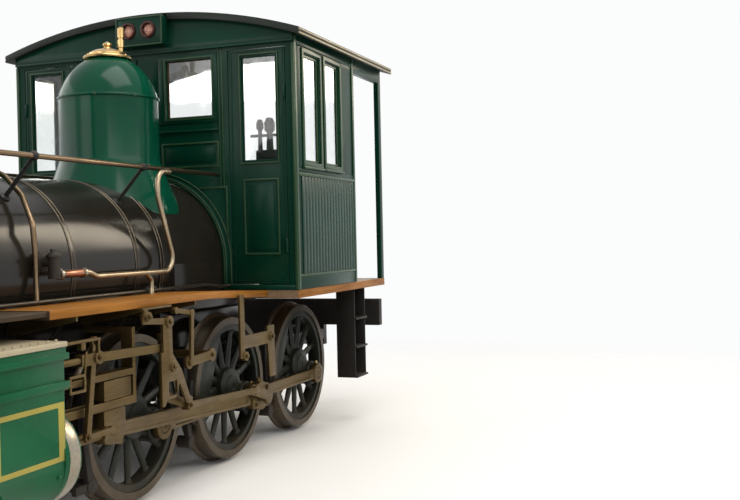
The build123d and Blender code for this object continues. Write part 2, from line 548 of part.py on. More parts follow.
# Handrail with its knobs, pipes along the boiler
RAIL_Y = 640
RAIL_Z = SILL + 924
rail = along_x(CAB_X + 23, 2380, RAIL_Y, RAIL_Z, 17)
for x in (-121, 1018, 2157):
    a = math.atan2(RAIL_Z - BOILER_Z, RAIL_Y)
    reach = math.hypot(RAIL_Y, RAIL_Z - BOILER_Z)
    start = (SMOKEBOX_R if x > SMOKEBOX_X0 else (BARREL_R if x > CONE_X1 else FIREBOX_R)) + 12
    mid = (reach + start) / 2
    post = Pos(x, mid * math.cos(a), BOILER_Z + mid * math.sin(a)) * Rot(math.degrees(a) - 90, 0, 0)
    rail = rail + post * Cylinder(14, reach - start)
    rail = rail + Pos(x, RAIL_Y, RAIL_Z) * Sphere(30)
both("handrails", rail)

PIPE_X = 1040
PIPE_Y = 655
sand_pipe = pipe([(950, 240, SILL + 875), (952, 370, SILL + 817), (986, 520, SILL + 694),
                  (PIPE_X + 6, 640, SILL + 520), (PIPE_X + 6, PIPE_Y, SILL + 330), (PIPE_X + 6, PIPE_Y, BOARD_Z + 2)],
                 17, 90)
sand_pipe = sand_pipe - Pos(0, 0, 0) * turned_z([(454, SEAT + 300), (454, SEAT + 700)], SAND_X, 0)
both("sand_pipes", sand_pipe)

VALVE_X = 965
VALVE_Y = 722
FEED_Z = SILL + 190
valve = along_y(BARREL_R - 10, VALVE_Y, VALVE_X, SILL + 300, 34) - along_x(0, 2000, 0, BOILER_Z, BARREL_R + 1)
valve = valve + (along_y(BARREL_R - 10, 650, VALVE_X, SILL + 300, 58) - along_x(0, 2000, 0, BOILER_Z, BARREL_R + 1))
valve = valve + [
    along_z(SILL + 195, SILL + 350, VALVE_X, VALVE_Y, 36), along_z(SILL + 322, SILL + 340, VALVE_X, VALVE_Y, 46),
    along_z(SILL + 345, SILL + 372, VALVE_X, VALVE_Y, 20),
    along_x(VALVE_X - 270, VALVE_X, VALVE_Y, FEED_Z + 30, 24),
    along_x(VALVE_X - 62, VALVE_X - 34, VALVE_Y, FEED_Z + 30, 34),
    along_x(VALVE_X - 296, VALVE_X - 262, VALVE_Y, FEED_Z + 30, 31)]
both("check_valves", valve)
feed = pipe([(VALVE_X - 296, VALVE_Y, FEED_Z + 30), (VALVE_X - 336, VALVE_Y, FEED_Z + 30),
             (VALVE_X - 410, VALVE_Y, FEED_Z), (-390, VALVE_Y, FEED_Z), (-184, 715, FEED_Z + 525),
             (-192, 708, FEED_Z + 707), (-350, 706, FEED_Z + 708)], 19, 100)
feed = feed + pipe([(10, VALVE_Y, FEED_Z), (-66, VALVE_Y, FEED_Z - 50), (-66, VALVE_Y, BOARD_Z + 2)], 16, 26)
small = pipe([(CAB_X + 24, 726, SILL + 40), (CAB_X + 180, 726, SILL + 40), (CAB_X + 330, 688, SILL + 62),
              (CYL_X0 + 200, 688, SILL + 62)], 12, 60)
both("feed_pipes", feed, small)

# Cylinder with its stacked steam chest. The jacket lies between the two end flanges.
def cylinder():
    body = block(JACKET_X0, JACKET_X1, CYL_IN, CYL_OUT, CYL_LOW, CHEST_LOW)
    low = body.edges().filter_by(Axis.X).sort_by(Axis.Z)[:2]
    body = fillet(low.sort_by(Axis.Y)[-1:], 230)
    upright = body.edges().filter_by(Axis.Z).sort_by(Axis.Y)[-2:]
    body = fillet(upright, 24)
    body = body - block(CYL_X0, 2200, 590, 700, 200, 520)
    stack = [
        block(JACKET_X0 - 14, JACKET_X1 + 14, 700, CYL_OUT + 14, CHEST_LOW, CHEST_LOW + 40),
        block(JACKET_X0, JACKET_X1, 720, CYL_OUT - 10, CHEST_LOW + 40, CHEST_TOP - 90),
        block(JACKET_X0 - 14, JACKET_X1 + 14, 704, CYL_OUT + 14, CHEST_TOP - 90, CHEST_TOP - 55),
        block(JACKET_X0 - 6, JACKET_X1 + 6, 716, CYL_OUT, CHEST_TOP - 55, CHEST_TOP),
        along_x(CYL_X0 - COVER_T, JACKET_X0 + 30, MAIN_Y, AXLE_Z, COVER_R),
        along_x(JACKET_X1 - 30, CYL_X1 + COVER_T, MAIN_Y, AXLE_Z, COVER_R),
        along_x(CYL_X1 + 40, CYL_X1 + 74, MAIN_Y, AXLE_Z, 150),
        along_x(CYL_X0 - 64, CYL_X0, MAIN_Y, AXLE_Z, 70),
        along_x(CYL_X0 - 80, JACKET_X0 + 20, MAIN_Y + 83, CHEST_LOW + 95, 44),
    ]
    body = body + stack
    return body - along_x(CYL_X0 - 200, CYL_X1 - 30, MAIN_Y, AXLE_Z, 37)


cyl = cylinder()
write("cylinder_left", cyl)
write("cylinder_right", other_side(cyl))

# Guide bars: one above the slipper and two below, with the yoke that carries their rear ends
GUIDE_Z0 = 716
GUIDE_Z1 = 936
GUIDE_Y0 = SIDE_Y1 + 6
GUIDE_Y1 = MAIN_Y + 50
LOW_BAR_T = 50
TOP_BAR_T = 40
STEM_HALF = 14
GUIDE_GAP = 6
GUIDE_X0 = DRIVER_X[1] + MAIN_ROD_L - CRANK - CROSS_HALF - 16
GUIDE_X1 = CYL_X0 - COVER_T
low_bars = ((GUIDE_Y0, MAIN_Y - STEM_HALF - 8), (MAIN_Y + STEM_HALF + 8, GUIDE_Y1))
guide = block(GUIDE_X0, GUIDE_X1, GUIDE_Y0, GUIDE_Y1, GUIDE_Z1 - TOP_BAR_T, GUIDE_Z1)
guide = guide + block(GUIDE_X1 - 18, GUIDE_X1, GUIDE_Y0, GUIDE_Y1, GUIDE_Z0, GUIDE_Z1)
guide = guide + block(GUIDE_X0 - 26, GUIDE_X0 + 4, GUIDE_Y0, GUIDE_Y1, 780, 1170)
for y0, y1 in low_bars:
    guide = guide + block(GUIDE_X0 - 26, GUIDE_X1, y0, y1, GUIDE_Z0, GUIDE_Z0 + LOW_BAR_T)
    guide = guide + block(GUIDE_X0 - 26, GUIDE_X0 + 4, y0, y1, GUIDE_Z0, 790)
guide = guide + block(GUIDE_X0 - 26, GUIDE_X0 + 4, 620, GUIDE_Y1, 1150, 1190)
both("guide_bars", guide)

# Crossheads with piston rods. The slipper runs between the bars, and its stem between the two low ones.
def crosshead(pin_x):
    x0 = pin_x - CROSS_HALF
    x1 = pin_x + CROSS_HALF - CROSS_CLEAR
    fork_top = GUIDE_Z0 - GUIDE_GAP
    slot_top = fork_top - 22
    body = block(x0, x1, GUIDE_Y0, GUIDE_Y1 + 2, GUIDE_Z0 + LOW_BAR_T + GUIDE_GAP, GUIDE_Z1 - TOP_BAR_T - GUIDE_GAP)
    body = body + block(pin_x - 60, pin_x + 100, MAIN_Y - STEM_HALF, MAIN_Y + STEM_HALF, slot_top, GUIDE_Z0 + 70)
    cheeks = plate_xz([(x0 + 50, fork_top), (x1 - 10, fork_top), (x1 - 10, AXLE_Z - 60),
                       (pin_x - 60, AXLE_Z - 90), (pin_x - 100, AXLE_Z)], GUIDE_Y0, MAIN_Y1 + 10)
    slot = block(pin_x - 240, pin_x + 72, MAIN_Y0 + 4, MAIN_Y1 - 4, AXLE_Z - 120, slot_top)
    body = body + [cheeks - slot]
    body = body + along_x(x1 - 20, pin_x + PISTON_ROD_L, MAIN_Y, AXLE_Z, 35)
    body = body + along_x(x1 - 20, x1 - 2, MAIN_Y, AXLE_Z, 52)
    body = body + along_y(GUIDE_Y0, MAIN_Y1 + 16, pin_x, AXLE_Z, 32)
    # The stud for the union link ends short of it, because that pivot is left open.
    return body + along_y(MAIN_Y1, CRANK_ARM_Y0 - PIN_GAP, pin_x + 104, UNION_Z, 20)


def cross_x(side):
    dx, dz = crank_offset(side)
    return DRIVER_X[1] + dx + math.sqrt(MAIN_ROD_L ** 2 - dz ** 2)


cross_left = crosshead(cross_x("left"))
cross_right = other_side(crosshead(cross_x("right")))
write("crosshead_left", cross_left)
write("crosshead_right", cross_right)

RETURN_ARM = 270
RETURN_TURN = 18


# Main rods. Each is laid out level with its small end at the origin, then turned to its rest angle.
def main_rod(side):
    small_x = cross_x(side)
    dx, dz = crank_offset(side)
    big_x = DRIVER_X[1] + dx
    big_z = AXLE_Z + dz
    y0 = MAIN_Y0 + 8
    y1 = MAIN_Y1 - 8
    shank = plate_xz([(0, 44), (0, -44), (-MAIN_ROD_L, -62), (-MAIN_ROD_L, 62)], y0 + 6, y1 - 6)
    for y in (y0 + 6, y1 - 6):
        shank = shank - plate_xz([(-120, 24), (-120, -24), (-MAIN_ROD_L + 220, -38), (-MAIN_ROD_L + 220, 38)],
                                 y - 7, y + 7)
    rod = shank + [along_y(y0, y1, 0, 0, 62), along_y(MAIN_Y0, MAIN_Y1, -MAIN_ROD_L, 0, 112),
                   block(-MAIN_ROD_L - 112, -MAIN_ROD_L + 150, MAIN_Y0, MAIN_Y1, -92, 92),
                   along_z(88, 140, -MAIN_ROD_L, MAIN_Y, 26), along_z(52, 96, 0, MAIN_Y, 16)]
    rod = rod - along_y(y0 - 20, y1 + 20, 0, 0, 33.5)
    rod = rod + along_y(MAIN_Y1 - 5, CRANK_ARM_Y1, -MAIN_ROD_L, 0, 46)
    angle = math.degrees(math.asin(dz / MAIN_ROD_L))
    rod = Pos(small_x, 0, AXLE_Z) * Rot(0, angle, 0) * rod
    # The return crank points from the crank pin to just past the axle's height.
    aim = (RETURN_ARM * math.cos(math.radians(RETURN_TURN)), RETURN_ARM * math.sin(math.radians(RETURN_TURN)))
    if side == "right":
        aim = (-aim[1], aim[0])
    end = (big_x + aim[0], big_z + aim[1])
    turn = math.degrees(math.atan2(aim[0], aim[1]))
    arm = Pos(big_x, (CRANK_ARM_Y0 + CRANK_ARM_Y1) / 2, big_z) * Rot(0, turn, 0)
    arm = arm * Pos(0, 0, RETURN_ARM / 2) * Box(76, CRANK_ARM_Y1 - CRANK_ARM_Y0, RETURN_ARM)
    rod = rod + [arm, along_y(CRANK_ARM_Y0, CRANK_ARM_Y1, end[0], end[1], 42),
                 along_y(CRANK_ARM_Y0, CRANK_ARM_Y1, big_x, big_z, 62)]
    return rod, end


rod_left, arm_left = main_rod("left")
rod_right, arm_right = main_rod("right")
write("main_rod_left", rod_left)
write("main_rod_right", other_side(rod_right))

# Side rods over all three crank pins
def side_rod(side):
    dx, dz = crank_offset(side)
    z = AXLE_Z + dz
    xs = [x + dx for x in DRIVER_X]
    rod = block(xs[2], xs[0], SIDE_Y0 + 8, SIDE_Y1 - 8, z - 46, z + 46)
    for a, b in ((xs[1], xs[0]), (xs[2], xs[1])):
        rod = rod - block(a + 150, b - 150, SIDE_Y1 - 16, SIDE_Y1, z - 26, z + 26)
    rod = rod + [along_y(SIDE_Y0, SIDE_Y1, x, z, 92) for x in xs]
    rod = rod - [along_y(SIDE_Y0 - 5, SIDE_Y1 + 5, x, z, PIN_R + 1.5) for x in xs]
    return rod


write("side_rod_left", side_rod("left"))
write("side_rod_right", other_side(side_rod("right")))

# Valve gear: link, radius rod, combination lever, union link, eccentric rod. It stays as it parks.
LINK_X = 262
LINK_Z = 905
LINK_RADIUS = 1200
FOOT = (10, 612)
LEVER_TOP = (1000, 1146)
LEVER_PIN = (1003, 1056)
LEVER_LOW = (1082, UNION_Z)
HANGER_Y0 = ROD_PLANE_Y1 + 6
HANGER_Y1 = HANGER_Y0 + 18


def bar_between(a, b, width, y0, y1):
    dx = b[0] - a[0]
    dz = b[1] - a[1]
    length = math.hypot(dx, dz)
    turn = math.degrees(math.atan2(dx, dz))
    piece = Pos((a[0] + b[0]) / 2, (y0 + y1) / 2, (a[1] + b[1]) / 2) * Rot(0, turn, 0)
    piece = piece * Box(width, abs(y1 - y0), length)
    return piece + [along_y(y0, y1, a[0], a[1], width * 0.75), along_y(y0, y1, b[0], b[1], width * 0.75)]


def valve_gear(side, arm_end):
    # The curved link, with its slot and its tail down to the eccentric rod's pin
    cx = LINK_X + LINK_RADIUS
    y0 = CRANK_ARM_Y0
    y1 = CRANK_ARM_Y1
    link = along_y(y0, y1, cx, LINK_Z, LINK_RADIUS + 38) - along_y(y0 - 5, y1 + 5, cx, LINK_Z, LINK_RADIUS - 38)
    link = link & block(LINK_X - 120, LINK_X + 120, y0, y1, LINK_Z - 215, LINK_Z + 215)
    slot = along_y(y0 - 5, y1 + 5, cx, LINK_Z, LINK_RADIUS + 15) - along_y(y0 - 6, y1 + 6, cx, LINK_Z, LINK_RADIUS - 15)
    link = link - (slot & block(LINK_X - 120, LINK_X + 120, y0 - 5, y1 + 5, LINK_Z - 160, LINK_Z + 160))
    tail = plate_xz([(LINK_X - 30, LINK_Z - 170), (LINK_X + 40, LINK_Z - 215), (FOOT[0] + 30, FOOT[1] - 12),
                     (FOOT[0] - 20, FOOT[1] + 30)], y0, y1)
    block_z = LINK_Z + 205 * 0.62
    parts = [
        tail,
        along_y(y0, ROD_PLANE_Y1 + 4, FOOT[0], FOOT[1], 34),
        bar_between((LINK_X + 6, block_z), LEVER_PIN, 52, y1, ROD_PLANE_Y1),
        bar_between(LEVER_TOP, LEVER_LOW, 40, y0, y1),
        along_x(LEVER_TOP[0] - 20, CYL_X0 - 80, MAIN_Y + 83, CHEST_LOW + 95, 20),
        block(LEVER_TOP[0] - 44, LEVER_TOP[0] + 150, MAIN_Y + 55, MAIN_Y + 111, CHEST_LOW + 62, CHEST_LOW + 128),
        bar_between(LEVER_LOW, (cross_x(side) + 104, UNION_Z), 34, y0, y1),
        bar_between(FOOT, arm_end, 46, ROD_PLANE_Y0, ROD_PLANE_Y1),
    ]
    return link + parts


write("valve_gear_left", valve_gear("left", arm_left))
write("valve_gear_right", other_side(valve_gear("right", arm_right)))

# The link's carrier: a crooked arm on top, an upright, and a fork with a square eye
BRACKET_TOP = BOARD_Z - BOARD_T
carrier = plate_xz([
    (590, 1238), (575, 1282), (530, 1282), (505, 1238), (360, 1226), (300, 1226), (262, 1214), (258, 990),
    (150, 868), (60, 690), (20, 668), (30, 640), (92, 640), (182, 790), (226, 700), (330, 700), (362, 660),
    (392, 660), (392, 1000), (366, 1010), (366, 1188), (500, 1200), (590, 1206)], HANGER_Y0, HANGER_Y1)
carrier = carrier - block(212, 312, HANGER_Y0 - 5, HANGER_Y1 + 5, 718, 812)
carrier = carrier + [along_y(CRANK_ARM_Y1, HANGER_Y1 + 16, LINK_X, LINK_Z, 34),
                     along_y(HANGER_Y0 - 8, HANGER_Y1 + 22, 552, 1252, 30),
                     along_y(HANGER_Y0 - 4, HANGER_Y1 + 14, 300, 1200, 38)]
carrier = carrier + block(262, 590, BOARD_IN + 60, HANGER_Y1, BRACKET_TOP - 12, BRACKET_TOP)
carrier = carrier + block(530, 575, HANGER_Y0, HANGER_Y1, 1270, BRACKET_TOP)

# The hanging frame ahead of the main crank, seen outside the rods
frame_hanger = block(-742, -676, HANGER_Y0, HANGER_Y1, 838, BRACKET_TOP)
frame_hanger = frame_hanger + block(-1180, -680, HANGER_Y0, HANGER_Y1, 905, 1000)
frame_hanger = frame_hanger + plate_xz([(-1120, 1040), (-1120, 905), (-1150, 640), (-1250, 640), (-1236, 1040)],
                                       HANGER_Y0, HANGER_Y1)
frame_hanger = frame_hanger + along_y(HANGER_Y0 - 4, HANGER_Y1 + 12, -745, 850, 34)

frame_hanger = frame_hanger + along_y(HANGER_Y0 - 4, HANGER_Y1 + 14, -1180, 955, 36)
both("motion_brackets", carrier, frame_hanger, *brackets)

# Reverse shaft stubs on the frames, each with its lifting arm, drop link and crooked top arm
SHAFT_X = -300
SHAFT_Z = 915
LIFT = (8, 900)
shaft = along_y(FRAME_Y0 + 5, ROD_PLANE_Y1, SHAFT_X, SHAFT_Z, 30)
shaft = shaft + block(SHAFT_X - 50, SHAFT_X + 50, FRAME_Y0 + 5, FRAME_Y1 - 5, FRAME_TOP, SHAFT_Z + 45)
shaft = shaft + bar_between((SHAFT_X, SHAFT_Z), LIFT, 62, ROD_PLANE_Y0, ROD_PLANE_Y1)
shaft = shaft + bar_between(LIFT, (-10, 1232), 34, ROD_PLANE_Y1, ROD_PLANE_Y1 + 20)
shaft = shaft + bar_between((-10, 1232), (180, 1262), 30, ROD_PLANE_Y0, ROD_PLANE_Y1 + 14)
both("reverse_shaft", shaft)

# Brake hangers, shoes and beams ahead of each coupled wheel
SHOE_GAP = 10
SHOE_T = 42
HANG_TOP = 872
BEAM_Z = 254
brakes = []
for x in DRIVER_X:
    shoe_ring = along_y(716, 806, x, AXLE_Z, TREAD_R + SHOE_GAP + SHOE_T)
    shoe_ring = shoe_ring - along_y(700, 820, x, AXLE_Z, TREAD_R + SHOE_GAP)
    shoe = shoe_ring & block(x + 400, x + 700, 716, 806, AXLE_Z - 190, AXLE_Z + 130)
    hx = x + TREAD_R + SHOE_GAP + SHOE_T + 4
    foot_x = hx - 52
    outside = x == DRIVER_X[0]
    y0 = 832 if outside else 744
    y1 = y0 + 34
    hanger = plate_xz([(hx + 22, HANG_TOP), (hx - 22, HANG_TOP), (hx - 22, 560), (foot_x - 26, BEAM_Z + 20),
                       (foot_x + 26, BEAM_Z - 10), (hx + 18, 520), (hx + 22, 640)], y0, y1)
    top = block(hx - 24, hx + 24, FRAME_Y1, y1, HANG_TOP - 40, HANG_TOP)
    top = top + block(hx - 24, hx + 24, FRAME_Y1, FRAME_Y1 + 24, 720, HANG_TOP)
    brake = shoe + [hanger, top, along_y(676, y1 + 6, foot_x, BEAM_Z, 44), along_y(760, y1 + 8, hx - 16, AXLE_Z, 20)]
    if outside:
        brake = brake + block(foot_x - 60, foot_x + 150, y0, y1, BEAM_Z - 24, BEAM_Z + 26)
    beam_low = along_y(-700, 700, foot_x, BEAM_Z, 17)
    brakes.append(brake + [other_side(brake), beam_low])
write("brake_gear", *brakes)

# Ash pan under the grate
pan = plate_xz([(-1680, GRATE_Z), (-480, GRATE_Z), (-480, 700), (-830, 690), (-1140, 690), (-1240, 430), (-1560, 430)],
               -FRAME_Y0 + 30, FRAME_Y0 - 30)
pan = pan - along_y(-600, 600, DRIVER_X[1], AXLE_Z, AXLE_R + 15)
write("ash_pan", pan)

# Steps at the cab and at the front beam
steps = []
for x, span, out, top in ((-2850, 274, 1240, SILL - 65), (FRAME_FRONT_X - 140, 140, DECK_HALF, BEAM_TOP - 30)):
    step = block(x, x + 14, out - 180, out, 430, top) + block(x + span - 14, x + span, out - 180, out, 430, top)
    step = step + [block(x, x + span, out - 180, out + 20, z, z + 18) for z in (430, 700, 960) if z + 60 < top]
    steps.append(step)
both("steps", steps[0] + [steps[1]])
print("built", len(os.listdir("parts")))
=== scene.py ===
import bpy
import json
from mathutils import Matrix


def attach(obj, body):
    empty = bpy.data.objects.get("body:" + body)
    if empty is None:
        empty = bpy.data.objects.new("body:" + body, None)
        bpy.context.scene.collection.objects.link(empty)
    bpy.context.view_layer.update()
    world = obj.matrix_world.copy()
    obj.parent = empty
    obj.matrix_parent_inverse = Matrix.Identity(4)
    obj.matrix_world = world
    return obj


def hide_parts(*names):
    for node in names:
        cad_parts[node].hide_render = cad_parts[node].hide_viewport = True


bl_info = {
    "name": "Steam engine",
    "version": (1, 0, 0),
    "blender": (4, 5, 0),
    "location": "View3D > Sidebar > Engine",
    "description": "Dresses the packed engine with its joinery, wheels, motion, pipes and finishes",
    "category": "Object",
}

import json
import math

import bpy
from mathutils import Matrix, Vector

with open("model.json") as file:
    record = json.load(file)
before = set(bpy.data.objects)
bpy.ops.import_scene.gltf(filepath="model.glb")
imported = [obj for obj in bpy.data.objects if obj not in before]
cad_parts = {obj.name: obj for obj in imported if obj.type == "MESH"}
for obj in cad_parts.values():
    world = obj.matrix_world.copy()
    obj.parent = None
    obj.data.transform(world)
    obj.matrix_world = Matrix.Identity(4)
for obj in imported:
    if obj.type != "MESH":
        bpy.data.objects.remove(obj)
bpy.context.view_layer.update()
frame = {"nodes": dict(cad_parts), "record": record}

# Main measures in metres, as in the solids
SILL = 1.315
CAB_X = -1.2
BOILER_Z = 1.55
BARREL_R = 0.615
SMOKEBOX_R = 0.64
BACKHEAD_X = -1.75
FIREBOX_X = -0.47
RAIL_Y, RAIL_Z = 0.64, SILL + 0.924
STEAM_DOME_X, SAND_DOME_X, STACK_X = -0.65, 1.3, 2.06
AXLE_Z = 0.575
DRIVER_X = (0.3, -1.0, -2.3)
LEADING_AXLE = (2.95, 0, 0.387)
CRANK = 0.254
MAIN_ROD = 1.98
CYLINDER_Y = 0.932
MIRROR = Matrix.Scale(-1, 4, (0, 1, 0))
# Each side's name, the matrix that brings a left part there, and its crank's turn
HANDS = (("left", Matrix.Identity(4), math.radians(247)), ("right", MIRROR, math.radians(157)))
# The smallest radius, which stands for a point
POINT = 0.00002


# Plain handling of objects

def drop():
    if bpy.context.object and bpy.context.object.mode != "OBJECT":
        bpy.ops.object.mode_set(mode="OBJECT")
    bpy.ops.object.select_all(action="DESELECT")


def take(*objs):
    drop()
    for o in objs:
        o.select_set(True)
    bpy.context.view_layer.objects.active = objs[-1]


def open_up(o, kind="EDGE"):
    take(o)
    bpy.ops.object.mode_set(mode="EDIT")
    bpy.ops.mesh.select_mode(type=kind)
    bpy.ops.mesh.select_all(action="SELECT")


def close_up():
    bpy.ops.object.mode_set(mode="OBJECT")


def settle(o):
    take(o)
    bpy.ops.object.transform_apply(location=True, rotation=True, scale=True)


def extrude(depth):
    bpy.ops.mesh.extrude_region_move(TRANSFORM_OT_translate={"value": (0, 0, depth)})


def merge(o, gap=0.00002):
    """Merges doubled points and turns every face outward."""
    open_up(o)
    bpy.ops.mesh.remove_doubles(threshold=gap)
    bpy.ops.mesh.normals_make_consistent(inside=False)
    close_up()
    return o


def round_edges(o, width, steps=2, sharp=50):
    open_up(o)
    bpy.ops.mesh.select_all(action="DESELECT")
    bpy.ops.mesh.edges_select_sharp(sharpness=math.radians(sharp))
    bpy.ops.mesh.bevel(offset=width, segments=steps, affect="EDGES", clamp_overlap=True)
    close_up()
    return o


def slab(lo, hi, edge=0.002, steps=2):
    """A block with rounded edges between two corners."""
    drop()
    size = [abs(b - a) for a, b in zip(lo, hi)]
    place = [(a + b) / 2 for a, b in zip(lo, hi)]
    bpy.ops.mesh.primitive_cube_add(size=1, location=place, scale=size)
    o = bpy.context.object
    settle(o)
    return round_edges(o, min(edge, min(size) * 0.3), steps) if edge else o


def bar(a, b, r, sides=24, edge=0.001, top=None):
    """A round bar from a to b. top is the radius at b, where it differs."""
    a, b = Vector(a), Vector(b)
    drop()
    put_at = {"depth": (b - a).length, "location": (a + b) / 2, "rotation": (b - a).to_track_quat("Z", "Y").to_euler()}
    if top is None:
        bpy.ops.mesh.primitive_cylinder_add(vertices=sides, radius=r, **put_at)
    else:
        bpy.ops.mesh.primitive_cone_add(vertices=sides, radius1=r, radius2=top, **put_at)
    o = bpy.context.object
    settle(o)
    return round_edges(o, edge) if edge else o


def turned(profile, place=(0, 0, 0), axis="Z", steps=48, ring=False):
    """Turns (radius, height) pairs about an axis by extruding one circle up the profile."""
    drop()
    r, h = max(profile[0][0], POINT), profile[0][1]
    bpy.ops.mesh.primitive_circle_add(vertices=steps, radius=r, fill_type="NOTHING" if ring else "NGON")
    o = bpy.context.object
    o.location = (0, 0, h)
    settle(o)
    open_up(o)
    for new_r, new_h in profile[1:] + (profile[:1] if ring else []):
        new_r = max(new_r, POINT)
        extrude(new_h - h)
        bpy.ops.transform.resize(value=(new_r / r, new_r / r, 1), center_override=(0, 0, new_h))
        r, h = new_r, new_h
    close_up()
    if axis != "Z":
        angle, about = (-90, "X") if axis == "Y" else (90, "Y")
        o.data.transform(Matrix.Rotation(math.radians(angle), 4, about))
    o.data.transform(Matrix.Translation(place))
    return merge(o, 0.0001)


# Matrices that stand a flat drawing up on a wall
WALLS = {
    "front": Matrix(((0, 0, 1, 0), (1, 0, 0, 0), (0, 1, 0, 0), (0, 0, 0, 1))),
    "left": Matrix(((1, 0, 0, 0), (0, 0, 1, 0), (0, 1, 0, 0), (0, 0, 0, 1))),
}


def bead(wall, at, u0, u1, v0, v1, width, depth, edge=0.003):
    """A rectangular moulding on a wall: the front wall has u along y, the left wall has u along x."""
    drop()
    bpy.ops.mesh.primitive_plane_add(size=1, location=((u0 + u1) / 2, (v0 + v1) / 2, at))
    o = bpy.context.object
    o.scale = (abs(u1 - u0), abs(v1 - v0), 1)
    settle(o)
    open_up(o, "FACE")
    bpy.ops.mesh.inset(thickness=width, depth=0)
    bpy.ops.mesh.delete(type="ONLY_FACE")
    bpy.ops.mesh.select_all(action="SELECT")
    extrude(depth)
    close_up()
    o.data.transform(WALLS[wall])
    merge(o)
    return round_edges(o, min(edge, width * 0.3, abs(depth) * 0.45))


def cut_plate(points, wall, at, depth, edge=0.002):
    """A plate of any outline, drawn as (u, v) points on a wall and given a thickness."""
    drop()
    bpy.ops.mesh.primitive_circle_add(vertices=len(points), radius=1, fill_type="NGON")
    o = bpy.context.object
    for v, (a, b) in zip(o.data.vertices, points):
        v.co = (a, b, at)
    open_up(o, "FACE")
    extrude(depth)
    close_up()
    o.data.transform(WALLS[wall])
    merge(o)
    return round_edges(o, edge, 2, 40)


def trim(o, point, normal):
    """Cuts away what lies behind a plane and closes the cut."""
    open_up(o)
    bpy.ops.mesh.bisect(plane_co=point, plane_no=normal, use_fill=True, clear_inner=True, clear_outer=False)
    close_up()
    return o


def moved(objs, matrix):
    """Moves meshes by a matrix, with their faces still outward if it mirrors them."""
    for o in objs:
        o.data.transform(matrix)
        if matrix.determinant() < 0:
            o.data.flip_normals()
    return objs


def copy_of(o, matrix):
    twin = o.copy()
    twin.data = o.data.copy()
    bpy.context.scene.collection.objects.link(twin)
    return moved([twin], matrix)[0]


def both_sides(objs):
    return list(objs) + [copy_of(o, MIRROR) for o in objs]


def scatter(model, matrices):
    """Copies of a small model, which itself is used up."""
    made = [copy_of(model, m) for m in matrices]
    bpy.data.objects.remove(model)
    return made


def paint(objs, finish):
    for o in objs if isinstance(objs, (list, tuple)) else [objs]:
        o.data.materials.clear()
        o.data.materials.append(FINISHES[finish])
    return objs


def finish_piece(name, objs, body="engine", takes_place_of=(), angle=32):
    """Joins objects into one named piece that rides on a body."""
    take(*objs)
    if len(objs) > 1:
        bpy.ops.object.join()
    o = bpy.context.view_layer.objects.active
    o.name = name
    o.data.name = name
    take(o)
    bpy.ops.object.shade_smooth_by_angle(angle=math.radians(angle))
    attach(o, body)
    if takes_place_of:
        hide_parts(*takes_place_of)
    return o


def body_holding(node):
    for name, held in frame["record"]["behaviour"]["bodies"].items():
        if node in held:
            return name
    raise RuntimeError("no body holds " + node)


def parted(o, choose):
    """Splits an object into its loose parts and paints each one by the middle of its box."""
    open_up(o)
    bpy.ops.mesh.separate(type="LOOSE")
    close_up()
    parts = list(bpy.context.selected_objects)
    for part in parts:
        corners = [Vector(c) for c in part.bound_box]
        paint(part, choose((corners[0] + corners[6]) / 2))
    return parts


def mark(o, finish, test):
    """Gives another finish to the faces whose middle passes the test."""
    o.data.materials.append(FINISHES[finish])
    for face in o.data.polygons:
        if test(face.center):
            face.material_index = len(o.data.materials) - 1


def dressed(node, width, finish, choose=None):
    """A copy of a solid with merged facets and rounded edges, which then stands for it."""
    o = bpy.data.objects.new(node + "_skin", frame["nodes"][node].data.copy())
    bpy.context.scene.collection.objects.link(o)
    o.data.materials.clear()
    open_up(o)
    bpy.ops.mesh.remove_doubles(threshold=0.00001)
    bpy.ops.mesh.dissolve_limited(angle_limit=math.radians(0.5))
    close_up()
    if width:
        mod = o.modifiers.new("rounded", "BEVEL")
        mod.width = width
        mod.segments = 2
        mod.limit_method = "ANGLE"
        mod.angle_limit = math.radians(40)
        mod.use_clamp_overlap = True
        take(o)
        bpy.ops.object.modifier_apply(modifier=mod.name)
    made = parted(o, choose) if choose else [paint(o, finish)]
    return finish_piece(node + "_skin", made, body_holding(node), (node,))


def rivet(r, high):
    """A round head that stands on z 0."""
    drop()
    bpy.ops.mesh.primitive_uv_sphere_add(segments=10, ring_count=6, radius=r)
    o = bpy.context.object
    trim(o, (0, 0, 0), (0, 0, 1))
    o.data.transform(Matrix.Scale(high / r, 4, (0, 0, 1)))
    return o


def nut(r, high):
    """A six-sided nut on z 0 with its stud end."""
    body = bar((0, 0, 0), (0, 0, high), r, 6, r * 0.08)
    end = bar((0, 0, high * 0.9), (0, 0, high * 1.5), r * 0.55, 12, r * 0.08)
    take(end, body)
    bpy.ops.object.join()
    return bpy.context.object


def aim(place, normal):
    """Stands a small model on a surface point, along its normal."""
    turn = Vector(normal).to_track_quat("Z", "Y").to_matrix().to_4x4()
    return Matrix.Translation(place) @ turn


def facing_x(x, y, z, r, a):
    """A point of a circle that faces along X."""
    return x, y + r * math.cos(a), z + r * math.sin(a)


# Shader nodes shared by the finishes

def new_group(name, outputs, **inputs):
    tree = bpy.data.node_groups.new(name, "ShaderNodeTree")
    for label, value in inputs.items():
        kind = "NodeSocketVector" if isinstance(value, tuple) else "NodeSocketFloat"
        tree.interface.new_socket(name=label, in_out="INPUT", socket_type=kind).default_value = value
    for label in outputs:
        tree.interface.new_socket(name=label, in_out="OUTPUT", socket_type="NodeSocketFloat")
    return tree, tree.nodes.new("NodeGroupInput").outputs, tree.nodes.new("NodeGroupOutput").inputs


def put(tree, kind, **values):
    n = tree.nodes.new(kind)
    for key, value in values.items():
        if hasattr(n, key):
            setattr(n, key, value)
        else:
            n.inputs[key].default_value = value
    return n


